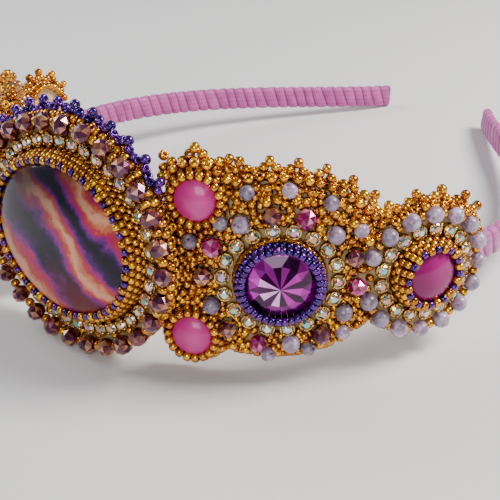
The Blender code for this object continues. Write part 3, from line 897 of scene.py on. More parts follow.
@dataclass(frozen=True)
class BeadGlass(Finish):
    """Lined, metallic or cut glass of beads.

    Attributes:
        face: colour seen straight on.
        edge: colour at grazing angles: for gold, the amber glass seen deeper at the rim together
            with painted shade; for gilt, painted shade; for purple, a lustre tint.
        metallic: share of metal.
        roughness: roughness before smears.
        spread: how far single beads or facets differ.
        coat: strength of the clear skin.
    """

    face: Colour
    edge: Colour
    metallic: float
    roughness: float
    spread: float
    coat: float

    def inputs(self, graph: Graph) -> Inputs:
        """Face and edge colours by the angle of view, where darker edges are painted shade on the
        rims, varied by the share of each bead.

        Args:
            graph: the material's graph.

        Returns:
            The shader's inputs.
        """
        tone = graph.group(EFFECTS.tone, {
            "Face": self.face, "Edge": self.edge, "Facing": graph.facing(0.42),
            "Shade": graph.shade(), "Spread": self.spread})
        return {"Base Color": tone.outputs[0], "Metallic": self.metallic,
                "Roughness": smeared(graph, self.roughness, 0.10, 420.0),
                "Coat Weight": self.coat, "Coat Roughness": 0.05}


@dataclass(frozen=True)
class StoneGlass(Finish):
    """Satin, stone-like glass of the lilac beads.

    Attributes:
        base: main colour.
        cloud: colour of its paler patches.
        speck: colour of its specks.
        spread: how far single beads differ.
    """

    base: Colour
    cloud: Colour
    speck: Colour
    spread: float

    def inputs(self, graph: Graph) -> Inputs:
        """Clouds and sunken specks under a satin skin.

        Args:
            graph: the material's graph.

        Returns:
            The shader's inputs.
        """
        dots = graph.group(EFFECTS.speckle, {"Base": self.base, "Cloud": self.cloud,
                                             "Speck": self.speck, "Scale": 620.0})
        body = dots.outputs["Colour"]
        tone = graph.group(EFFECTS.tone, {"Face": body, "Edge": body, "Facing": 0.0,
                                          "Shade": graph.shade(), "Spread": self.spread})
        return {"Base Color": tone.outputs[0], "Roughness": 0.34, "Coat Weight": 0.55,
                "Normal": graph.bump(dots.outputs["Mask"], 0.25, 0.00005),
                "Coat Roughness": 0.16}


@dataclass(frozen=True)
class CutCrystal(Finish):
    """Foiled or lustred cut glass whose facets each show another colour: the lustre's own tints
    together with painted reflections, dark facets as painted shade and pale ones as painted
    highlights.

    Attributes:
        stops: (place, colour) of what a facet may show, painted highlights and painted shade among
            them.
        metallic: share of the foil's shine.
        roughness: roughness of the facets.
        coat: strength of the clear skin.
    """

    stops: Stops
    metallic: float
    roughness: float
    coat: float

    def inputs(self, graph: Graph) -> Inputs:
        """A ramp over the facets' random shares, under a clear skin; the ramp's darkest and palest
        stops paint shade and highlights.

        Args:
            graph: the material's graph.

        Returns:
            The shader's inputs.
        """
        drift = graph.noise(graph.coordinates(), 520.0, 2.0, 0.55)
        facet = graph.math("MULTIPLY_ADD", drift, 0.25, graph.shade())
        share = graph.math("PINGPONG", facet, 1.0)
        return {"Base Color": graph.ramp(share, self.stops), "Metallic": self.metallic,
                "Roughness": smeared(graph, self.roughness, 0.05, 300.0),
                "Coat Weight": self.coat, "Coat Roughness": 0.02}


@dataclass(frozen=True)
class CatsEye(Finish):
    """Fibrous pink glass with a soft bright band, which is a painted highlight, and a deep rim of
    painted shade.

    Attributes:
        base: main colour.
        bright: colour of the band, a painted highlight.
        deep: colour at the rim, painted shade.
    """

    base: Colour
    bright: Colour
    deep: Colour

    def inputs(self, graph: Graph) -> Inputs:
        """A broad band across the stone's own coordinates as a painted highlight, fine fibres, and
        a deep rim at grazing angles as painted shade.

        Args:
            graph: the material's graph.

        Returns:
            The shader's inputs.
        """
        uv = graph.coordinates("UV")
        # Painted highlight: a bright band at a fixed place to one side of the stone
        from_painted_highlight = graph.math("ABSOLUTE", graph.math("SUBTRACT", graph.parts(uv)[0], 0.60))
        band = graph.span(from_painted_highlight, 0.34, 0.0, 0.0, 0.75, "SMOOTHSTEP")
        fibres = graph.noise(graph.mapped(uv, Scale=(34.0, 2.0, 1.0)), 1.0, 2.0, 0.55)
        share = graph.math("MULTIPLY", band, graph.math("MULTIPLY_ADD", fibres, 0.5, 0.75))
        body = graph.mix(share, self.base, self.bright)
        # Painted shade: the deep colour darkens the rim at grazing angles
        return {"Base Color": graph.mix(graph.facing(0.30), body, self.deep),
                "Roughness": smeared(graph, 0.16, 0.10, 240.0), "Specular IOR Level": 0.25,
                "Coat Weight": 0.35, "Coat Roughness": 0.06}


@dataclass(frozen=True)
class PrintedGlass(Finish):
    """A marbled print seen through a clear dome."""

    def inputs(self, graph: Graph) -> Inputs:
        """The shared marble under a skin that mirrors little of the pale studio.

        Args:
            graph: the material's graph.

        Returns:
            The shader's inputs.
        """
        return {"Base Color": graph.group(EFFECTS.marble).outputs[0],
                "Roughness": smeared(graph, 0.16, 0.10, 90.0), "Specular IOR Level": 0.16,
                "Coat Weight": 0.35, "Coat Roughness": 0.02}


@dataclass(frozen=True)
class Felt(Finish):
    """Beading felt.

    Attributes:
        base: main colour.
        deep: colour between its fibres.
    """

    base: Colour
    deep: Colour

    def inputs(self, graph: Graph) -> Inputs:
        """Fibres in colour and relief with a little sheen.

        Args:
            graph: the material's graph.

        Returns:
            The shader's inputs.
        """
        fibre = graph.group(EFFECTS.fibre, {"Base": self.base, "Deep": self.deep})
        return {"Base Color": fibre.outputs["Colour"], "Normal": fibre.outputs["Normal"],
                "Roughness": 0.95, "Sheen Weight": 0.3}


@dataclass(frozen=True)
class Ribbon(Finish):
    """Ribbon wound on the hoop.

    Attributes:
        base: main colour.
        deep: colour painted into its grooves as shade, and the darker tone of the weave and its
            clouds.
        cords: cords across the width of a turn.
        threads: turns of the crossing thread's wave in a metre, in radians.
    """

    base: Colour
    deep: Colour
    cords: float = 5.0
    threads: float = 4200.0

    def inputs(self, graph: Graph) -> Inputs:
        """Weave in colour and relief, with painted shade in the grooves and sheen at grazing
        angles.

        Args:
            graph: the material's graph.

        Returns:
            The shader's inputs.
        """
        weave = graph.group(EFFECTS.weave, {"Base": self.base, "Deep": self.deep,
                                            "Cords": self.cords, "Threads": self.threads})
        return {"Base Color": weave.outputs["Colour"], "Normal": weave.outputs["Normal"],
                "Roughness": 0.62, "Sheen Weight": 0.45, "Sheen Roughness": 0.4}


def make_materials() -> dict[str, bpy.types.Material]:
    """Build every material once.

    Returns:
        Name to material.
    """
    finishes = (
        # Gold seed: its dark red-brown edge colour is partly amber glass seen deep at the rim and
        # partly painted shade
        BeadGlass("gold_seed", (0.79, 0.355, 0.020), (0.29, 0.038, 0.005),
                  metallic=0.92, roughness=0.16, spread=0.34, coat=0.4),
        BeadGlass("purple_iris", (0.070, 0.026, 0.235), (0.19, 0.035, 0.21),
                  metallic=0.88, roughness=0.18, spread=0.34, coat=0.5),
        # Gilt metal: its darker edge colour is painted shade on the cups' rims
        BeadGlass("gilt_metal", (0.72, 0.44, 0.15), (0.36, 0.16, 0.03),
                  metallic=1.0, roughness=0.22, spread=0.15, coat=0.0),
        # Mauve bronze: plum lustre, with its pale copper stops partly painted highlights
        CutCrystal("mauve_bronze", (
            (0.0, (0.035, 0.008, 0.028)), (0.32, (0.095, 0.022, 0.058)),
            (0.60, (0.16, 0.042, 0.085)), (0.82, (0.32, 0.095, 0.055)),
            (1.0, (0.66, 0.32, 0.17))), metallic=0.66, roughness=0.13, coat=0.7),
        # Rose: its palest stop is a painted highlight
        CutCrystal("rose_aurora", (
            (0.0, (0.085, 0.003, 0.030)), (0.32, (0.25, 0.006, 0.080)),
            (0.66, (0.43, 0.014, 0.16)), (0.88, (0.58, 0.07, 0.29)),
            (1.0, (0.86, 0.42, 0.58))), metallic=0.46, roughness=0.12, coat=0.8),
        # Clear aurora: the coating's tints, with the white stops as painted highlights and the
        # near-black stop as painted shade
        CutCrystal("clear_aurora", (
            (0.0, (0.94, 0.92, 0.84)), (0.16, (0.10, 0.60, 0.68)), (0.30, (0.95, 0.86, 0.58)),
            (0.45, (0.94, 0.54, 0.08)), (0.57, (0.90, 0.93, 0.96)), (0.68, (0.06, 0.08, 0.13)),
            (0.80, (0.16, 0.68, 0.56)), (0.90, (0.86, 0.30, 0.14)), (1.0, (0.62, 0.34, 0.66))),
                   metallic=0.82, roughness=0.04, coat=0.35),
        # Fuchsia rivoli: near-black stops are painted shade, the pale pink top is a painted
        # highlight, and the whole ramp is darkened as painted shade
        CutCrystal("fuchsia_cut", (
            (0.0, (0.010, 0.001, 0.012)), (0.22, (0.045, 0.001, 0.045)),
            (0.40, (0.19, 0.002, 0.17)), (0.62, (0.52, 0.008, 0.45)),
            (0.82, (0.70, 0.060, 0.66)), (1.0, (0.94, 0.58, 0.95))),
                   metallic=0.74, roughness=0.04, coat=0.6),
        StoneGlass("lilac_stone", base=(0.21, 0.14, 0.235), cloud=(0.43, 0.34, 0.46),
                   speck=(0.13, 0.05, 0.04), spread=0.36),
        CatsEye("pink_eye", base=(0.58, 0.022, 0.235), bright=(0.70, 0.075, 0.335),
                deep=(0.30, 0.008, 0.11)),
        # End stones: a deeper magenta cat's eye, darkened further as painted shade
        CatsEye("magenta_eye_painted_shade", base=(0.25, 0.004, 0.115), bright=(0.40, 0.016, 0.20),
                deep=(0.10, 0.002, 0.045)),
        PrintedGlass("marbled_print"),
        Felt("cream_felt", base=(0.80, 0.62, 0.34), deep=(0.50, 0.34, 0.15)),
        Ribbon("orchid_ribbon", base=(0.70, 0.140, 0.475), deep=(0.22, 0.024, 0.140)),
    )
    return {finish.name: finish.build() for finish in finishes}


MATERIALS = make_materials()


# Rings and rows
def ring(half: tuple[float, float], count: int, shift: float = 0.0) -> tuple[np.ndarray, ...]:
    """Spread places evenly round an ellipse.

    Args:
        half: half lengths along and up.
        count: number of places.
        shift: first place, as a share of a step.

    Returns:
        Places along and up, and the tangent along and up.
    """
    fine = np.linspace(0.0, 2 * np.pi, 1441)
    x, y = half[0] * np.cos(fine), half[1] * np.sin(fine)
    length = np.concatenate([[0.0], np.cumsum(np.hypot(np.diff(x), np.diff(y)))])
    angle = np.interp((np.arange(count) + shift) / count * length[-1] % length[-1], length, fine)
    tangent = unit(np.stack([-half[0] * np.sin(angle), half[1] * np.cos(angle)], axis=1))
    return half[0] * np.cos(angle), half[1] * np.sin(angle), tangent[:, 0], tangent[:, 1]


def path_places(path: np.ndarray, pitch: float) -> tuple[np.ndarray, np.ndarray, np.ndarray]:
    """Spread places evenly along a path.

    Args:
        path: (N, 2) points.
        pitch: wanted distance between places.

    Returns:
        Places, directions and left-hand sides, each (M, 2).
    """
    length = np.concatenate([[0.0], np.cumsum(np.hypot(*np.diff(path, axis=0).T))])
    wanted = np.linspace(0.0, length[-1], max(2, round(length[-1] / pitch)) + 1)
    points = np.stack([np.interp(wanted, length, path[:, k]) for k in (0, 1)], axis=1)
    ahead = unit(np.gradient(points, axis=0))
    return points, ahead, np.stack([-ahead[:, 1], ahead[:, 0]], axis=1)


def local3(along: np.ndarray, up: np.ndarray, out: float | np.ndarray = 0.0) -> np.ndarray:
    """Stack local coordinates into vectors."""
    return np.stack([along, up, out + 0 * along], axis=1)


@dataclass(frozen=True)
class Row:
    """A row of a stone's beaded wall.

    Attributes:
        out: how far its centres stand outside the stone's girdle.
        lift: height over the felt.
        count: number of beads.
        kinds: batch names, used in turn round the row.
    """

    out: float
    lift: float
    count: int
    kinds: tuple[str, ...]


FELT_THICKNESS = 0.0015
EDGING_WIDTH = 0.0010
SEED_RADIUS = 0.00103
SMALL_SEED = 0.00086
SEED_ROOM = 0.0015
CYLINDER_RADIUS = 0.00080
CYLINDER_LENGTH = 0.82
CUP_RADIUS = 0.00155

# Glue or thread under what sits on a felt
BED = 0.0003


def make_batches(draw: np.random.Generator) -> dict[str, Batch]:
    """Start the batches of one sub-assembly.

    Args:
        draw: its random generator.

    Returns:
        Batch name to batch.
    """
    shapes = {"gold": Shape.SEED, "purple": Shape.CYLINDER, "gold_tube": Shape.CYLINDER,
              "picot": Shape.SEED, "cups": Shape.CUP, "stones": Shape.CHATON,
              "lilac": Shape.ROUND, "mauve": Shape.FACETED, "rose": Shape.FACETED}
    return {name: Batch(shape, draw) for name, shape in shapes.items()}


def lay_wall(panel: Panel, half: tuple[float, float], rows: Sequence[Row],
             batches: dict[str, Batch]) -> None:
    """Lay the rows of a beaded wall round a stone, each half a bead on from the last.

    Args:
        panel: surface that holds the stone, with the stone at its zero.
        half: half lengths of the stone.
        rows: the wall's rows.
        batches: batches that take the beads.
    """
    for number, row in enumerate(rows):
        size = (half[0] + row.out, half[1] + row.out)
        u, v, du, dv = ring(size, row.count, 0.5 * (number % 2))
        points = panel.point(u, v, np.full(len(u), row.lift))
        axes = panel.vector(u, local3(du, dv))
        for turn, kind in enumerate(row.kinds):
            pick = np.arange(len(u)) % len(row.kinds) == turn
            tube = batches[kind].shape is Shape.CYLINDER
            size, length = (CYLINDER_RADIUS, CYLINDER_LENGTH) if tube else (SEED_RADIUS, 1.0)
            batches[kind].add(points[pick], axes[pick], size, length)


def lay_chain(panel: Panel, centre: tuple[float, float], half: tuple[float, float], count: int,
              batches: dict[str, Batch]) -> None:
    """Lay a rhinestone chain in a closed ring.

    Args:
        panel: surface that holds it.
        centre: the ring's centre along and up.
        half: half lengths of the ring.
        count: number of cups.
        batches: batches that take the cups and stones.
    """
    u, v, du, dv = ring(half, count)
    u, v = u + centre[0], v + centre[1]
    points = panel.point(u, v, np.full(count, BED))
    _, _, out = panel.axes(u)
    sides = panel.vector(u, local3(du, dv))
    for kind in ("cups", "stones"):
        batches[kind].add(points, out, CUP_RADIUS, 1.0, sides, spread=0.02)


# Sub-assemblies
@dataclass
class WoundBand:
    """The hoop wound in ribbon.

    Attributes:
        width: width of the band.
        thickness: thickness of the band.
        drop: how far its middle lies under the felts' middle.
        pitch: length of hoop that one turn of ribbon covers.
        ridge: depth of the groove between turns.
        slant: how far a turn runs along the hoop as it crosses the band.
        back: how far on a turn lies on the band's back.
        wander: (turns, radians in a metre, start) of the waves by which turns stray.
        squareness: power that rounds a turn's ridge.
        tip: (length, share) over which a tip closes in, and of the section left there.
        girth: length round the section, as the weave counts it.
        stations: sections along the hoop.
        sides: corners of a section.
    """

    width: float = 0.0065
    thickness: float = 0.0030
    drop: float = 0.0008
    pitch: float = 0.0032
    ridge: float = 0.00055
    slant: float = 0.0021
    back: float = 0.0006
    wander: tuple[tuple[float, float, float], ...] = ((0.11, 310.0, 0.0), (0.06, 730.0, 1.0))
    squareness: float = 2.4
    tip: tuple[float, float] = (0.0007, 0.65)
    girth: float = 0.019
    stations: int = 1750
    sides: int = 32

    def section(self) -> tuple[np.ndarray, np.ndarray]:
        """A rounded oblong, even in length.

        Returns:
            Its corners' thickness and width coordinates.
        """
        fine = np.linspace(0, 2 * np.pi, 721)
        a = self.thickness / 2 * np.sign(np.cos(fine)) * np.abs(np.cos(fine)) ** 0.5
        b = self.width / 2 * np.sign(np.sin(fine)) * np.abs(np.sin(fine)) ** 0.5
        length = np.concatenate([[0.0], np.cumsum(np.hypot(np.diff(a), np.diff(b)))])
        wanted = np.linspace(0, length[-1], self.sides, endpoint=False)
        return np.interp(wanted, length, a), np.interp(wanted, length, b)

    def build(self) -> None:
        """Carry the section along the hoop, pressed in between the turns of ribbon.

        A corner's turn number is its distance along the hoop, plus its slant across the band,
        over the pitch, and strays from that by slow waves. The fraction of that number gives
        a rounded ridge, and its depth is taken off the section. Both ends close in on a cap.
        """
        a, b = self.section()
        along = np.linspace(-HOOP.half_length, HOOP.half_length, self.stations)
        point, _, normal = HOOP.frames(1, along)
        face = np.where(a >= 0, 1.0, -1.0)
        turns = (along[:, None] + self.slant * face * b / self.width
                 + self.back * (1 - face) / 2) / self.pitch
        turns += sum(depth * np.sin(rate * along[:, None] + start)
                     for depth, rate, start in self.wander)
        share = 2 * (turns % 1.0) - 1
        bulge = np.sqrt(np.clip(1 - np.abs(share) ** self.squareness, 0, 1))
        depth = self.ridge * (1 - bulge)
        length, left = self.tip
        ends = np.clip((HOOP.half_length - np.abs(along)) / length, 0, 1)
        keep = np.sqrt(1 - (1 - ends) ** 2) * (1 - left) + left
        scale = (1 - depth / (self.thickness / 2)) * keep[:, None]
        narrow = (1 - depth / (self.width / 2)) * (0.5 + 0.5 * keep[:, None])
        own = point[:, None] + normal[:, None] * (a * scale)[..., None]
        own[..., 2] += b * narrow - self.drop
        corners = HOOP.place(own.reshape(-1, 3))
        loops, totals = capped_tube(self.stations, self.sides)
        around = np.broadcast_to(np.arange(self.sides) * (self.girth / self.sides), turns.shape)
        uv = np.stack([turns.ravel(), around.ravel()], axis=1)
        item = write_mesh("wound_band", corners, loops, totals, True, uv=uv)
        dress(item, MATERIALS["orchid_ribbon"], ["hoop_band"])


def dome(name: str, panel: Panel, half: tuple[float, float], girdle: float, height: float,
         material: bpy.types.Material, stands_for: Sequence[str],
         sides: int = 72, rows: int = 18) -> None:
    """Build a smooth cabochon: a quarter ellipse over a straight girdle.

    Args:
        name: the piece's name.
        panel: surface that holds it, with the stone at its zero.
        half: half lengths along and up.
        girdle: height of its straight edge.
        height: height of its crown.
        material: its material.
        stands_for: solids that it stands for.
        sides: sides of its rings.
        rows: rings from crown to girdle.
    """
    angle = np.linspace(0.02, np.pi / 2, rows)
    share = np.concatenate([np.sin(angle), [1.0, 0.97]])
    lift = np.concatenate([girdle + (height - girdle) * np.cos(angle), [0.05 * girdle, 0.0]])
    lift = lift + BED
    turn = np.linspace(0, 2 * np.pi, sides, endpoint=False)
    u = (half[0] * share[:, None] * np.cos(turn)).ravel()
    v = (half[1] * share[:, None] * np.sin(turn)).ravel()
    corners = panel.point(u, v, np.repeat(lift, sides))
    loops, totals = capped_tube(len(share), sides)
    wide = max(half)
    uv = np.stack([0.5 + u / (2 * wide), 0.5 + v / (2 * wide)], axis=1)
    item = write_mesh(name, corners, loops, totals, True, uv=uv)
    dress(item, material, stands_for)


@dataclass
class Medallion:
    """The flat oval at the front: stone, wall, chain, faceted beads and purple picots.

    Attributes:
        stone: half lengths of the stone.
        girdle: height of the stone's straight edge.
        height: height of its crown.
        wall: rows of its beaded wall.
        chain: half lengths of the chain's ring.
        chain_cups: number of cups.
        beads: half lengths of the ring of faceted beads.
        bead_count: number of faceted beads.
        bead_radius: their radius.
        edge_rows: (reach, seeds, lowest, lift) of the rows of seeds at the edge: how far
            outside the beads, seeds all round, where the row ends as a share of the half
            height, and height over the felt's face.
        band_clear: height inside which no seed lies on the back, where the band runs.
        felt: half lengths of the felt.
        picots: angles between which the picots run, in degrees.
        panel: the surface that holds it all.
    """

    stone: tuple[float, float] = (0.0192, 0.0156)
    girdle: float = 0.0034
    height: float = 0.0068
    wall: tuple[Row, ...] = (
        Row(0.0004, 0.00455, 68, ("purple", "gold")), Row(0.0011, 0.0036, 72, ("gold",)),
        Row(0.0014, 0.00225, 72, ("gold",)), Row(0.0016, 0.00100, 72, ("gold",)))
    chain: tuple[float, float] = (0.0234, 0.0196)
    chain_cups: int = 38
    beads: tuple[float, float] = (0.0270, 0.0233)
    bead_count: int = 28
    bead_radius: float = 0.0021
    edge_rows: tuple[tuple[float, int, float, float], ...] = (
        (0.0009, 80, -0.2, 0.0009), (0.0, 76, -1.1, -0.0008), (-0.0004, 74, -1.1, -0.0023))
    band_clear: float = 0.0072
    felt: tuple[float, float] = (0.0276, 0.0242)
    picots: tuple[float, float] = (39.0, 141.0)
    panel: FlatPanel = field(default_factory=FlatPanel)

    def build(self) -> None:
        """Build every piece of the medallion."""
        batches = make_batches(np.random.default_rng(SEED + 10))
        dome("oval_stone", self.panel, self.stone, self.girdle, self.height,
             MATERIALS["marbled_print"], ["oval_cabochon"], sides=120, rows=28)
        lay_wall(self.panel, self.stone, self.wall, batches)
        lay_chain(self.panel, (0.0, 0.0), self.chain, self.chain_cups, batches)
        self.lay_beads(batches)
        self.lay_picots(batches)
        pieces = (
            ("gold", "oval_gold_seeds", "gold_bead", "gold_seed", ["oval_bezel"]),
            ("purple", "oval_purple_beads", "purple_bead", "purple_iris", []),
            ("cups", "oval_chain_cups", "clear_crystal", "gilt_metal", ["oval_cup_chain"]),
            ("stones", "oval_chain_stones", "clear_crystal", "clear_aurora", []),
            ("mauve", "oval_faceted_beads", "mauve", "mauve_bronze", ["oval_bead_ring"]),
            ("picot", "medallion_picots", "purple_bead", "purple_iris", ["medallion_edging"]),
        )
        for kind, name, slot, finish, solids in pieces:
            batches[kind].build(name, slot, MATERIALS[finish], solids)

    def lay_beads(self, batches: dict[str, Batch]) -> None:
        """Lay the faceted beads with a gold seed between each two and a row outside them.

        Args:
            batches: the medallion's batches.
        """
        for shift, kind, size, lift in ((0.0, "mauve", self.bead_radius, 0.0024),
                                        (0.5, "gold", 0.00105, 0.0020)):
            u, v, du, dv = ring(self.beads, self.bead_count, shift)
            points = self.panel.point(u, v, np.full(len(u), lift))
            batches[kind].add(points, self.panel.vector(u, local3(du, dv)), size)
        for reach, count, lowest, lift in self.edge_rows:
            outer = (self.beads[0] + reach, self.beads[1] + reach + 0.0003)
            u, v, du, dv = ring(outer, count)
            clear = (lift > -FELT_THICKNESS) | (np.abs(v) > self.band_clear)
            keep = (v > lowest * outer[1]) & clear
            points = self.panel.point(u, v, np.full(count, lift))
            run = local3(du, dv) if lift > 0 else local3(dv, -du, 0.5)
            batches["gold"].add(points[keep], self.panel.vector(u, run)[keep], SEED_RADIUS)
        inner = (self.beads[0] - self.bead_radius, self.beads[1] - self.bead_radius)
        u, v, du, dv = ring(inner, self.bead_count, 0.5)
        points = self.panel.point(u, v, np.full(len(u), 0.0010))
        batches["gold"].add(points, self.panel.vector(u, local3(dv, -du)), 0.0009)

    def lay_picots(self, batches: dict[str, Batch]) -> None:
        """Lay purple picots over the top: two beads at the felt's edge and one at the tip.

        Args:
            batches: the medallion's batches.
        """
        start, stop = np.radians(self.picots)
        angle = np.linspace(stop, start, 300)
        path = np.stack([self.felt[0] * np.cos(angle), self.felt[1] * np.sin(angle)], axis=1)
        lay_picots(self.panel, path, batches, -0.0002)


# Distance from one picot's tip to the next
PICOT_PITCH = 0.0046

# Beads of a picot: at its tip or not, reach outside the felt, slide along, share run along
PICOT_BEADS = (
    (True, 0.0029, 0.0, 1.0), (True, 0.00150, 0.00110, 0.25), (True, 0.00150, -0.00110, 0.25),
    (False, 0.0008, 0.0, 0.0),
)


def lay_picots(panel: Panel, path: np.ndarray, batches: dict[str, Batch], lift: float) -> None:
    """Lay three-bead picots along a felt's edge.

    Args:
        panel: surface that the edge belongs to.
        path: (N, 2) points of the edge, with the outside on its left.
        batches: the batches.
        lift: height of the picots over the felt's face.
    """
    points, ahead, outward = path_places(path, PICOT_PITCH / 2)
    draw = batches["picot"].draw
    for tip, reach, slide, run in PICOT_BEADS:
        pick = (np.arange(len(points)) % 2 == 1) == tip
        at = points[pick] + outward[pick] * reach + ahead[pick] * slide
        jitter = draw.normal(scale=0.00012, size=(len(at), 3))
        lifts = np.full(len(at), lift) + draw.normal(scale=0.0002, size=len(at))
        places = panel.point(at[:, 0], at[:, 1], lifts) + jitter
        lean = draw.normal(scale=0.35, size=len(at))
        flow = ahead[pick] * run + outward[pick] * (1 - run)
        axes = panel.vector(at[:, 0], local3(flow[:, 0], flow[:, 1], lean))
        batches["picot"].add(places, axes, SEED_RADIUS * 1.02)


def thin(points: np.ndarray, gap: float) -> np.ndarray:
    """Thin points until no two lie within a gap of each other.

    Round by round, each point that comes before all its near neighbours stays and they go.

    Args:
        points: (N, 2) points in the order of their claims.
        gap: the smallest distance left.

    Returns:
        The points that stay.
    """
    kept = []
    while len(points):
        near = np.hypot(*(points[:, None] - points[None]).transpose(2, 0, 1)) < gap
        order = np.arange(len(points))
        first = np.where(near, order[None], len(points)).min(axis=1) == order
        kept.append(points[first])
        points = points[~near[:, first].any(axis=1)]
    return np.concatenate(kept)


@dataclass(frozen=True)
class Lobe:
    """A round lobe of a side felt's outline.

    Attributes:
        place: its centre along the hoop.
        rise: its centre above the hoop's plane.
        half_along: half length along.
        half_up: half height.
    """

    place: float
    rise: float
    half_along: float
    half_up: float

    def smaller(self, margin: float) -> "Lobe":
        """The same lobe, drawn in by a margin."""
        return Lobe(self.place, self.rise, self.half_along - margin, self.half_up - margin)


def lobe_edge(along: np.ndarray, lobes: Sequence[Lobe], sign: int) -> np.ndarray:
    """Outermost edge of a set of lobes.

    Args:
        along: (N,) distances along the hoop.
        lobes: the lobes.
        sign: 1 for the upper edge, -1 for the lower.

    Returns:
        The edge's height at each distance, or zero where no lobe reaches.
    """
    reach = []
    for lobe in lobes:
        share = np.clip((along - lobe.place) / lobe.half_along, -1, 1)
        height = sign * lobe.rise + lobe.half_up * np.sqrt(1 - share ** 2)
        reach.append(np.where(np.abs(share) < 1, height, -1.0))
    return sign * np.maximum(np.max(reach, axis=0), 0.0)


# Beads round a rivoli: degrees round it from the hoop's direction, kind of bead
RIVOLI_BEADS = (
    (123, "lilac"), (99, "mauve"), (74, "rose"), (47, "lilac"), (22, "mauve"), (-4, "rose"),
    (-29, "lilac"), (-55, "mauve"), (-79, "lilac"), (-104, "rose"), (-129, "mauve"),
    (-153, "lilac"), (180, "mauve"), (153, "rose"),
)

# Beads round a rivoli: kind of bead to its radius and its distance from the rivoli's centre
RIVOLI_SIZES = {"lilac": (0.00182, 0.0134), "mauve": (0.00202, 0.0137),
                "rose": (0.00202, 0.0137)}

# How far a seed of an edge may slip in under a stone's beads, and under a single bead
UNDER_STONE, UNDER_BEAD = 0.0012, 0.0005

# Rows of seeds along a side's edges: reach outside the edge, height over the felt
UPPER_ROWS = ((0.0000, -0.0008), (0.0002, 0.0011), (-0.0017, 0.0010), (-0.0006, -0.0023))
LOWER_ROWS = ((-0.0001, -0.0007), (-0.0010, 0.0009), (-0.0006, -0.0023))

# Small lilac beads of a side: millimetres along, millimetres up
SMALL_LILAC = (
    (31.7, 10.8), (26.3, 6.3), (36.1, 17.3), (43.3, 18.2), (50.5, 15.8), (56.2, 10.2),
    (48.4, -14.7), (54.5, -11.2), (41.2, -16.1),
)

# Seeds in the opening of the end ring: millimetres along, millimetres up
END_OPENING = ((58.7, 2.1), (59.0, -0.2), (58.7, -2.5))

# Passes that fill a side: radius, smallest distance, how far beads may crowd
FILL_PASSES = ((SEED_RADIUS, 0.00160, 0.0), (SMALL_SEED, 0.00125, 0.00046),
               (0.00076, 0.00115, 0.00072))


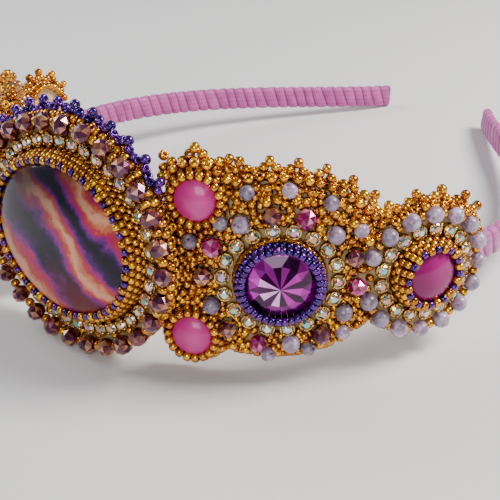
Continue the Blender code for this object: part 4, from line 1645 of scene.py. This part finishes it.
@dataclass
class SideCluster:
    """One side of the front: two small stones, a rivoli, an end stone and their beads.

    Attributes:
        label: left or right.
        side: -1 or 1.
        small_place: small stones' place along the hoop.
        small_rises: their places up the panel.
        small_radius: their radius.
        small_wall: rows of their walls.
        rivoli: the rivoli's place, rise and radius.
        rivoli_height: height of its point.
        rivoli_wall: rows of its wall.
        rivoli_chain: radius and number of cups of its chain.
        end: the end stone's place, rise and radius.
        end_wall: rows of its wall.
        end_chain: radius and number of cups of its chain.
        end_ring: distance of its ring of lilac beads from its centre.
        upper: lobes of the felt's upper edge.
        lower: lobes of the felt's lower edge.
        start: where the felt starts, behind the medallion.
        edge_starts: where the beads of the upper and of the lower edge start.
        picot_stop: degrees above the end lobe's far side where the picots stop.
        edge_pitch: distance between seeds along an edge.
        band_clear: height inside which no seed lies on the back, where the band runs.
        trials: random places tried when the rest is filled.
        span: farthest, lowest and highest place tried.
        hem: how far inside the felt's outline the fill stops.
        taken: place, rise and radius of everything laid so far.
    """

    label: str
    side: int
    small_place: float = 0.0272
    small_rises: tuple[tuple[str, float], ...] = (("upper", 0.0148), ("lower", -0.0136))
    small_radius: float = 0.0044
    small_wall: tuple[Row, ...] = (
        Row(0.0005, 0.0021, 18, ("gold",)), Row(0.0010, 0.0009, 19, ("gold",)))
    rivoli: tuple[float, float, float] = (0.0426, -0.0003, 0.0076)
    rivoli_height: float = 0.0050
    rivoli_wall: tuple[Row, ...] = (
        Row(-0.0002, 0.0040, 36, ("purple",)), Row(0.0005, 0.0029, 38, ("purple",)),
        Row(0.0007, 0.0017, 40, ("gold_tube",)), Row(0.0008, 0.0007, 40, ("gold_tube",)))
    rivoli_chain: tuple[float, int] = (0.01035, 18)
    end: tuple[float, float, float] = (0.0702, -0.0002, 0.0058)
    end_wall: tuple[Row, ...] = (
        Row(0.0002, 0.0042, 24, ("purple", "gold")), Row(0.0008, 0.0033, 25, ("gold",)),
        Row(0.0011, 0.0020, 26, ("gold",)), Row(0.0012, 0.0008, 26, ("gold",)))
    end_chain: tuple[float, int] = (0.0092, 17)
    end_ring: float = 0.0123
    upper: tuple[Lobe, ...] = (
        Lobe(0.0272, 0.0148, 0.0066, 0.0066), Lobe(0.0410, 0.0012, 0.0220, 0.0190),
        Lobe(0.0702, -0.0002, 0.0136, 0.0136))
    lower: tuple[Lobe, ...] = (
        Lobe(0.0272, -0.0136, 0.0064, 0.0064), Lobe(0.0410, -0.0006, 0.0220, 0.0166),
        Lobe(0.0702, -0.0002, 0.0136, 0.0136))
    start: float = 0.0195
    edge_starts: tuple[float, float] = (0.0212, 0.0220)
    picot_stop: float = 32.0
    edge_pitch: float = 0.00205
    band_clear: float = 0.0062
    trials: int = 9000
    span: tuple[float, float, float] = (0.084, -0.021, 0.022)
    hem: float = 0.0006
    taken: list[tuple[float, float, float]] = field(default_factory=list)

    def __post_init__(self) -> None:
        """Lay the panel that holds every piece of the side."""
        self.panel = SidePanel(self.side)

    def build(self) -> None:
        """Build every piece of the side."""
        batches = make_batches(np.random.default_rng(SEED + 20 + self.side))
        self.small_stones(batches)
        self.rivoli_stone(batches)
        self.end_stone(batches)
        self.ring_beads(batches)
        self.edges(batches)
        self.fill(batches)
        self.join(batches)

    def seat(self, place: float, rise: float) -> SeatPanel:
        """The flat seat of one of the side's stones."""
        return SeatPanel(self.side, place, rise)

    def small_stones(self, batches: dict[str, Batch]) -> None:
        """Build the two small cabochons and their seed walls.

        Args:
            batches: the side's batches.
        """
        radius = self.small_radius
        for level, rise in self.small_rises:
            seat = self.seat(self.small_place, rise)
            name = f"{self.label}_{level}"
            dome(f"{name}_stone", seat, (radius, radius), 0.0011, 0.0034,
                 MATERIALS["pink_eye"], [f"{name}_cabochon"], sides=48, rows=12)
            lay_wall(seat, (radius, radius), self.small_wall, batches)
            self.taken.append((self.small_place, rise, radius + 0.0028))

    def rivoli_stone(self, batches: dict[str, Batch]) -> None:
        """Build the rivoli, its purple wall and its chain.

        Args:
            batches: the side's batches.
        """
        place, rise, radius = self.rivoli
        seat = self.seat(place, rise)
        cut = rivoli_cut()
        u, v = cut.corners[:, 0] * radius, cut.corners[:, 1] * radius
        corners = seat.point(u, v, BED + self.rivoli_height * cut.corners[:, 2])
        item = write_mesh(f"{self.label}_rivoli_stone", corners, cut.loops, cut.totals, False,
                          shade=cut.patch)
        dress(item, MATERIALS["fuchsia_cut"], [f"{self.label}_rivoli"])
        lay_wall(seat, (radius, radius), self.rivoli_wall, batches)
        reach, cups = self.rivoli_chain
        lay_chain(self.panel, (place, rise), (reach, reach), cups, batches)
        u, v, _, _ = ring((0.0117, 0.0117), cups, 0.5)
        self.lay_seeds(place + u, rise + v, np.full(len(u), 0.0009), SMALL_SEED,
                       batches["gold"])
        self.taken.append((place, rise, 0.01250))

    def end_stone(self, batches: dict[str, Batch]) -> None:
        """Build the end stone, its wall, its chain and its open ring of lilac beads.

        Args:
            batches: the side's batches.
        """
        place, rise, radius = self.end
        seat = self.seat(place, rise)
        dome(f"{self.label}_end_stone", seat, (radius, radius), 0.0022, 0.0052,
             MATERIALS["magenta_eye_painted_shade"], [f"{self.label}_end_cabochon"],
             sides=56, rows=14)
        lay_wall(seat, (radius, radius), self.end_wall, batches)
        reach, cups = self.end_chain
        lay_chain(self.panel, (place, rise), (reach, reach), cups, batches)
        for count, shift, kind, size in ((15, 0.0, "lilac", 0.00175),
                                         (14, 0.5, "gold", SEED_RADIUS)):
            angle = np.radians(-157.5 + 22.5 * (np.arange(count) + shift))
            u, v = place + self.end_ring * np.cos(angle), rise + self.end_ring * np.sin(angle)
            points = self.panel.point(u, v, np.full(count, BED + size))
            axes = self.panel.vector(u, local3(-np.sin(angle), np.cos(angle)))
            batches[kind].add(points, axes, size)
        self.taken.append((place, rise, 0.0147))

    def ring_beads(self, batches: dict[str, Batch]) -> None:
        """Lay the beads round the rivoli and the small lilac beads, with seeds between.

        Args:
            batches: the side's batches.
        """
        place, rise, _ = self.rivoli
        for degrees, kind in RIVOLI_BEADS:
            size, radius = RIVOLI_SIZES[kind]
            angle = math.radians(degrees)
            u = np.array([place + radius * math.cos(angle)])
            v = np.array([rise + radius * math.sin(angle)])
            points = self.panel.point(u, v, np.array([size + BED]))
            tangent = local3(np.array([-math.sin(angle)]), np.array([math.cos(angle)]))
            batches[kind].add(points, self.panel.vector(u, tangent), size)
            self.taken.append((u[0], v[0], size + 0.0006))
        turns = np.radians([degrees for degrees, _ in RIVOLI_BEADS])
        between = np.sort(turns)
        middle = (between + np.append(between[1:], between[0] + 2 * np.pi)) / 2
        for reach in (0.01285, 0.01480):
            u, v = place + reach * np.cos(middle), rise + reach * np.sin(middle)
            points = self.panel.point(u, v, np.full(len(u), 0.0012))
            axes = self.panel.vector(u, local3(-np.sin(middle), np.cos(middle)))
            batches["gold"].add(points, axes, SEED_RADIUS)
            self.taken.extend((a, b, SEED_ROOM) for a, b in zip(u, v))
        u, v = (np.array(SMALL_LILAC) * MM).T
        points = self.panel.point(u, v, np.full(len(u), 0.0018))
        axes = unit(batches["lilac"].draw.normal(size=(len(u), 3)))
        batches["lilac"].add(points, axes, 0.0015)
        self.taken.extend((a, b, 0.0021) for a, b in zip(u, v))

    def edge_path(self, lobes: Sequence[Lobe], sign: int, start: float,
                  stop: float) -> np.ndarray:
        """Points along the upper or lower edge of the felt.

        Args:
            lobes: the edge's lobes.
            sign: 1 for the upper edge, -1 for the lower.
            start: first distance along the hoop.
            stop: last distance.

        Returns:
            (N, 2) points from start to stop.
        """
        last = lobes[-1]
        straight = np.arange(start, last.place, 0.0001)
        angle = np.radians(np.linspace(0, 90, 200))
        along = np.concatenate([straight, last.place + last.half_along * np.sin(angle)])
        along = along[along < stop]
        return np.stack([along, lobe_edge(along, lobes, sign)], axis=1)

    def edges(self, batches: dict[str, Batch]) -> None:
        """Lay the picots over the top and a plain row of seeds round the rest of the edge.

        Args:
            batches: the side's batches.
        """
        last = self.upper[-1]
        stop = last.place + last.half_along * math.cos(math.radians(self.picot_stop))
        upper = self.edge_path(self.upper, 1, self.edge_starts[0], stop)
        lay_picots(self.panel, upper, batches, -0.0003)
        stop = last.place + 0.99 * last.half_along
        lower = self.edge_path(self.lower, -1, self.edge_starts[1], stop)
        beads = np.array(self.taken)
        for path, hand, rows in ((lower, -1.0, LOWER_ROWS), (upper, 1.0, UPPER_ROWS)):
            for number, (reach, lift) in enumerate(rows):
                self.edge_row(path, hand, reach, lift, 0.5 * (number % 2), beads, batches)

    def edge_row(self, path: np.ndarray, hand: float, reach: float, lift: float,
                 shift: float, beads: np.ndarray, batches: dict[str, Batch]) -> None:
        """Lay one row of seeds along an edge.

        A row on the face leaves out what would lie under a larger bead. One on the back
        leaves out what would meet the band.

        Args:
            path: (N, 2) points of the edge.
            hand: 1 where the outside is on the path's left, -1 where it is on its right.
            reach: how far outside the edge the row runs.
            lift: its height over the felt's face.
            shift: how far the row runs on from the last, as a share of a seed.
            beads: (N, 3) places and radii that the larger beads and stones take.
            batches: the side's batches.
        """
        points, ahead, left = path_places(path, self.edge_pitch)
        outward = left * hand
        at = points + outward * reach + ahead * (shift * self.edge_pitch)
        if lift < -FELT_THICKNESS:
            clear = np.abs(at[:, 1]) > self.band_clear
        elif lift > 0:
            gap = np.hypot(at[:, :1] - beads[:, 0], at[:, 1:] - beads[:, 1]) - beads[:, 2]
            allow = np.where(beads[:, 2] > self.small_radius, UNDER_STONE, UNDER_BEAD)
            clear = (gap + allow).min(axis=1) > 0
        else:
            clear = np.full(len(at), True)
        at, outward = at[clear], outward[clear]
        draw = batches["gold"].draw
        at = at + draw.normal(scale=0.00009, size=at.shape)
        lifts = lift + draw.normal(scale=0.00012, size=len(at))
        lean = 0.4 + draw.normal(scale=0.25, size=len(at))
        axes = self.panel.vector(at[:, 0], local3(outward[:, 0], outward[:, 1], lean))
        batches["gold"].add(self.panel.point(at[:, 0], at[:, 1], lifts), axes, SEED_RADIUS)
        self.taken.extend((a, b, SEED_ROOM) for a, b in at)

    def fill(self, batches: dict[str, Batch]) -> None:
        """Fill what is left of the felt with gold seeds sewn flat, mostly round the rivoli.

        Places are random ones inside the felt's outline, clear of everything laid before and
        thinned until no two crowd each other. Two more passes put smaller seeds in the gaps
        that are left. Some of the first carry another seed on top.

        Args:
            batches: the side's batches.
        """
        draw = batches["gold"].draw
        farthest, lowest, highest = self.span
        u = draw.uniform(self.start, farthest, self.trials)
        v = draw.uniform(lowest, highest, self.trials)
        inside = ((v < lobe_edge(u, self.upper, 1) - self.hem)
                  & (v > lobe_edge(u, self.lower, -1) + self.hem))
        for size, spacing, crowd in FILL_PASSES:
            taken = np.array(self.taken)
            gap = np.hypot(u[:, None] - taken[:, 0], v[:, None] - taken[:, 1]) - taken[:, 2]
            keep = inside & (gap.min(axis=1) > -crowd)
            along, up = thin(np.stack([u[keep], v[keep]], axis=1), spacing).T
            self.taken.extend((a, b, SEED_ROOM) for a, b in zip(along, up))
            lifts = size - 0.0001 + draw.uniform(0, 0.0005, len(along))
            self.lay_seeds(along, up, lifts, size, batches["gold"])
            if size == SEED_RADIUS:
                second = draw.random(len(along)) < np.where(up > 0.006, 0.25, 0.12)
                self.lay_seeds(along[second], up[second], lifts[second] + 0.0015, size,
                               batches["gold"])
        u, v = (np.array(END_OPENING) * MM).T
        self.lay_seeds(u, v, np.full(len(u), 0.0009), SMALL_SEED, batches["gold"])

    def lay_seeds(self, u: np.ndarray, v: np.ndarray, lifts: np.ndarray, size: float,
                  batch: Batch) -> None:
        """Lay loose seeds that run round the rivoli, each a little off that line.

        Args:
            u: (N,) places along the hoop.
            v: (N,) places up it.
            lifts: (N,) heights over the felt's face.
            size: radius of the seeds.
            batch: the batch that takes them.
        """
        swing = (np.arctan2(v - self.rivoli[1], u - self.rivoli[0]) + np.pi / 2
                 + batch.draw.normal(scale=0.5, size=len(u)))
        tilt = batch.draw.normal(scale=0.22, size=len(u))
        axes = self.panel.vector(u, local3(np.cos(swing), np.sin(swing), tilt))
        batch.add(self.panel.point(u, v, lifts), axes, size)

    def join(self, batches: dict[str, Batch]) -> None:
        """Join the side's batches into pieces.

        Args:
            batches: the side's batches.
        """
        label = self.label
        pieces = (
            ("gold", "gold_seeds", "gold_bead", "gold_seed",
             ["upper_bezel", "lower_bezel", "end_bezel"]),
            ("picot", "picots", "gold_bead", "gold_seed", ["edging"]),
            ("purple", "purple_beads", "purple_bead", "purple_iris", ["rivoli_bezel"]),
            ("gold_tube", "gold_tubes", "gold_bead", "gold_seed", []),
            ("cups", "chain_cups", "clear_crystal", "gilt_metal",
             ["rivoli_cup_chain", "end_cup_chain"]),
            ("stones", "chain_stones", "clear_crystal", "clear_aurora", []),
            ("lilac", "lilac_beads", "lilac", "lilac_stone", ["end_bead_ring"]),
            ("mauve", "mauve_beads", "mauve", "mauve_bronze", []),
            ("rose", "rose_beads", "rose", "rose_aurora", []),
        )
        for kind, name, slot, finish, solids in pieces:
            nodes = [f"{label}_{solid}" for solid in solids]
            nodes += [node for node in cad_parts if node.startswith(f"{label}_{kind}_bead_")]
            batches[kind].build(f"{label}_{name}", slot, MATERIALS[finish], nodes)


# A felt's soft rim, the swell of its faces and how far they sink under the beads
FELT_RIM, FELT_SWELL, FELT_SINK = 0.0005, 0.00006, 0.00007


def felt_slab(name: str, panel: Panel, u: np.ndarray, low: np.ndarray, high: np.ndarray,
              stands_for: str) -> None:
    """Build a piece of felt from its width at places along it, with soft edges.

    Each place has a loop of corners: up the face, round the edge and down the back. The face
    and the back rise and fall a little, as sewn felt does.

    Args:
        name: the piece's name.
        panel: surface that it lies on.
        u: (N,) places along the panel.
        low: (N,) its lower edge at each place.
        high: (N,) its upper edge at each place.
        stands_for: the solid that it stands for.
    """
    face = np.linspace(0.0, 1.0, 17)
    middle, half = (low + high) / 2, (high - low) / 2
    soft = np.minimum(FELT_RIM, half * 0.5)
    across = 2 * face - 1
    v_face = middle[:, None] + (half - soft)[:, None] * across
    wave = FELT_SWELL * (np.sin(u[:, None] * 610 + 5 * across) + np.sin(v_face * 470 + 2.0)
                         + 0.4 * np.sin(u[:, None] * 1370 - v_face * 1130))
    top = np.stack([v_face, -FELT_SWELL + wave - FELT_SINK], axis=-1)
    back = -FELT_THICKNESS + 2 * FELT_SINK + wave[:, ::-1]
    bottom = np.stack([v_face[:, ::-1], back], axis=-1)
    turn = np.linspace(0, np.pi, 7)[1:-1]
    bulge, fall = np.sin(turn), -FELT_THICKNESS * (1 - np.cos(turn)) / 2
    right = np.stack([v_face[:, -1:] + soft[:, None] * bulge, 0 * v_face[:, :1] + fall], axis=-1)
    left = np.stack([v_face[:, :1] - soft[:, None] * bulge, 0 * v_face[:, :1] + fall[::-1]],
                    axis=-1)
    loop = np.concatenate([top, right, bottom, left], axis=1)
    count = loop.shape[1]
    corners = panel.point(np.repeat(u, count), loop[..., 0].ravel(), loop[..., 1].ravel())
    item = write_mesh(name, corners, *capped_tube(len(u), count), True)
    dress(item, MATERIALS["cream_felt"], [stands_for])


def build_felts() -> None:
    """Build the medallion's felt and the two side felts."""
    half_along, half_up = (half - EDGING_WIDTH for half in Medallion().felt)
    u = half_along * np.sin(np.linspace(-1.565, 1.565, 90))
    edge = half_up * np.sqrt(1 - (u / half_along) ** 2)
    felt_slab("medallion_cloth", FlatPanel(), u, -edge, edge, "medallion_felt")
    for label, side in (("left", -1), ("right", 1)):
        cluster = SideCluster(label, side)
        upper = [lobe.smaller(EDGING_WIDTH) for lobe in cluster.upper]
        lower = [lobe.smaller(EDGING_WIDTH) for lobe in cluster.lower]
        last = upper[-1]
        straight = np.arange(cluster.start, last.place, 0.0004)
        angle = np.linspace(0, 1.565, 40)
        u = np.concatenate([straight, last.place + last.half_along * np.sin(angle)])
        felt_slab(f"{label}_cloth", SidePanel(side), u, lobe_edge(u, lower, -1),
                  lobe_edge(u, upper, 1), f"{label}_felt")


@dataclass
class Studio:
    """The pale floor, the soft lights and the camera.

    Attributes:
        eye: the camera's place in the hoop's own frame, in metres.
        yaw: turn of its view about the hoop's normal, in radians.
        pitch: how far it looks down, in radians.
        roll: turn about its view, in radians.
        focal: focal length as a share of the picture's width.
        sensor: sensor width in millimetres.
    """

    eye: tuple[float, float, float] = (0.14023, -0.12169, 0.07999)
    yaw: float = 0.67409
    pitch: float = 0.42368
    roll: float = 0.04633
    focal: float = 964.84 / 500
    sensor: float = 36.0

    def camera(self) -> None:
        """Set the camera where the photo was taken from."""
        ahead = np.array([-math.sin(self.yaw) * math.cos(self.pitch),
                          math.cos(self.yaw) * math.cos(self.pitch), -math.sin(self.pitch)])
        right = np.array([math.cos(self.yaw), math.sin(self.yaw), 0.0])
        up = np.cross(right, ahead)
        turned_right = right * math.cos(self.roll) + up * math.sin(self.roll)
        turned_up = up * math.cos(self.roll) - right * math.sin(self.roll)
        basis = HOOP.turn(np.stack([turned_right, turned_up, -ahead]))
        place = HOOP.place(np.array([self.eye]))[0]
        data = bpy.data.cameras.new("photo_camera")
        data.sensor_width = self.sensor
        data.lens = self.focal * self.sensor
        data.clip_start = 0.005
        item = bpy.data.objects.new("photo_camera", data)
        matrix = Matrix(basis.T.tolist()).to_4x4()
        matrix.translation = Vector(place)
        item.matrix_world = matrix
        bpy.context.scene.collection.objects.link(item)
        bpy.context.scene.camera = item

    def light(self, name: str, place: Sequence[float], size: float, power: float,
              colour: Colour = (1.0, 1.0, 1.0)) -> None:
        """Add a square soft light that faces the part.

        Args:
            name: its name.
            place: where it stands, in metres.
            size: its side.
            power: its power in watts.
            colour: its colour.
        """
        data = bpy.data.lights.new(name, "AREA")
        data.shape = "SQUARE"
        data.size = size
        data.energy = power
        data.color = colour
        item = bpy.data.objects.new(name, data)
        item.location = place
        away = Vector(place) - Vector((0.0, -0.02, 0.02))
        item.rotation_euler = away.to_track_quat("Z", "Y").to_euler()
        bpy.context.scene.collection.objects.link(item)

    def build(self) -> None:
        """Build the floor, lights, world and camera."""
        size = 15.0
        corners = np.array([(-size, -size, 0.0), (size, -size, 0.0), (size, size, 0.0),
                            (-size, size, 0.0)])
        floor = write_mesh("floor", corners, np.arange(4), np.array([4]), False)
        paper = bpy.data.materials.new("pale_floor")
        paper.use_nodes = True
        shader = paper.node_tree.nodes["Principled BSDF"]
        shader.inputs["Base Color"].default_value = (0.78, 0.77, 0.76, 1.0)
        shader.inputs["Roughness"].default_value = 0.85
        floor.data.materials.append(paper)
        world = bpy.data.worlds.new("studio")
        bpy.context.scene.world = world
        world.use_nodes = True
        background = world.node_tree.nodes["Background"]
        background.inputs[0].default_value = (0.80, 0.84, 0.90, 1.0)
        background.inputs[1].default_value = 0.50
        self.light("key_light", (0.30, 0.22, 0.42), 0.22, 8.6, (1.0, 0.97, 0.93))
        self.light("front_light", (0.30, -0.50, 0.32), 0.30, 2.5)
        self.light("side_light", (-0.45, -0.10, 0.30), 0.30, 2.4, (0.93, 0.96, 1.0))
        view = bpy.context.scene.view_settings
        view.view_transform = "AgX"
        view.look = "AgX - Punchy"
        self.camera()


def main() -> None:
    """Build every sub-assembly in order."""
    logging.basicConfig(level=logging.INFO, format="%(name)s: %(message)s")
    Studio().build()
    WoundBand().build()
    Medallion().build()
    for label, side in (("left", -1), ("right", 1)):
        SideCluster(label, side).build()
    build_felts()


if __name__ == "__main__":
    main()
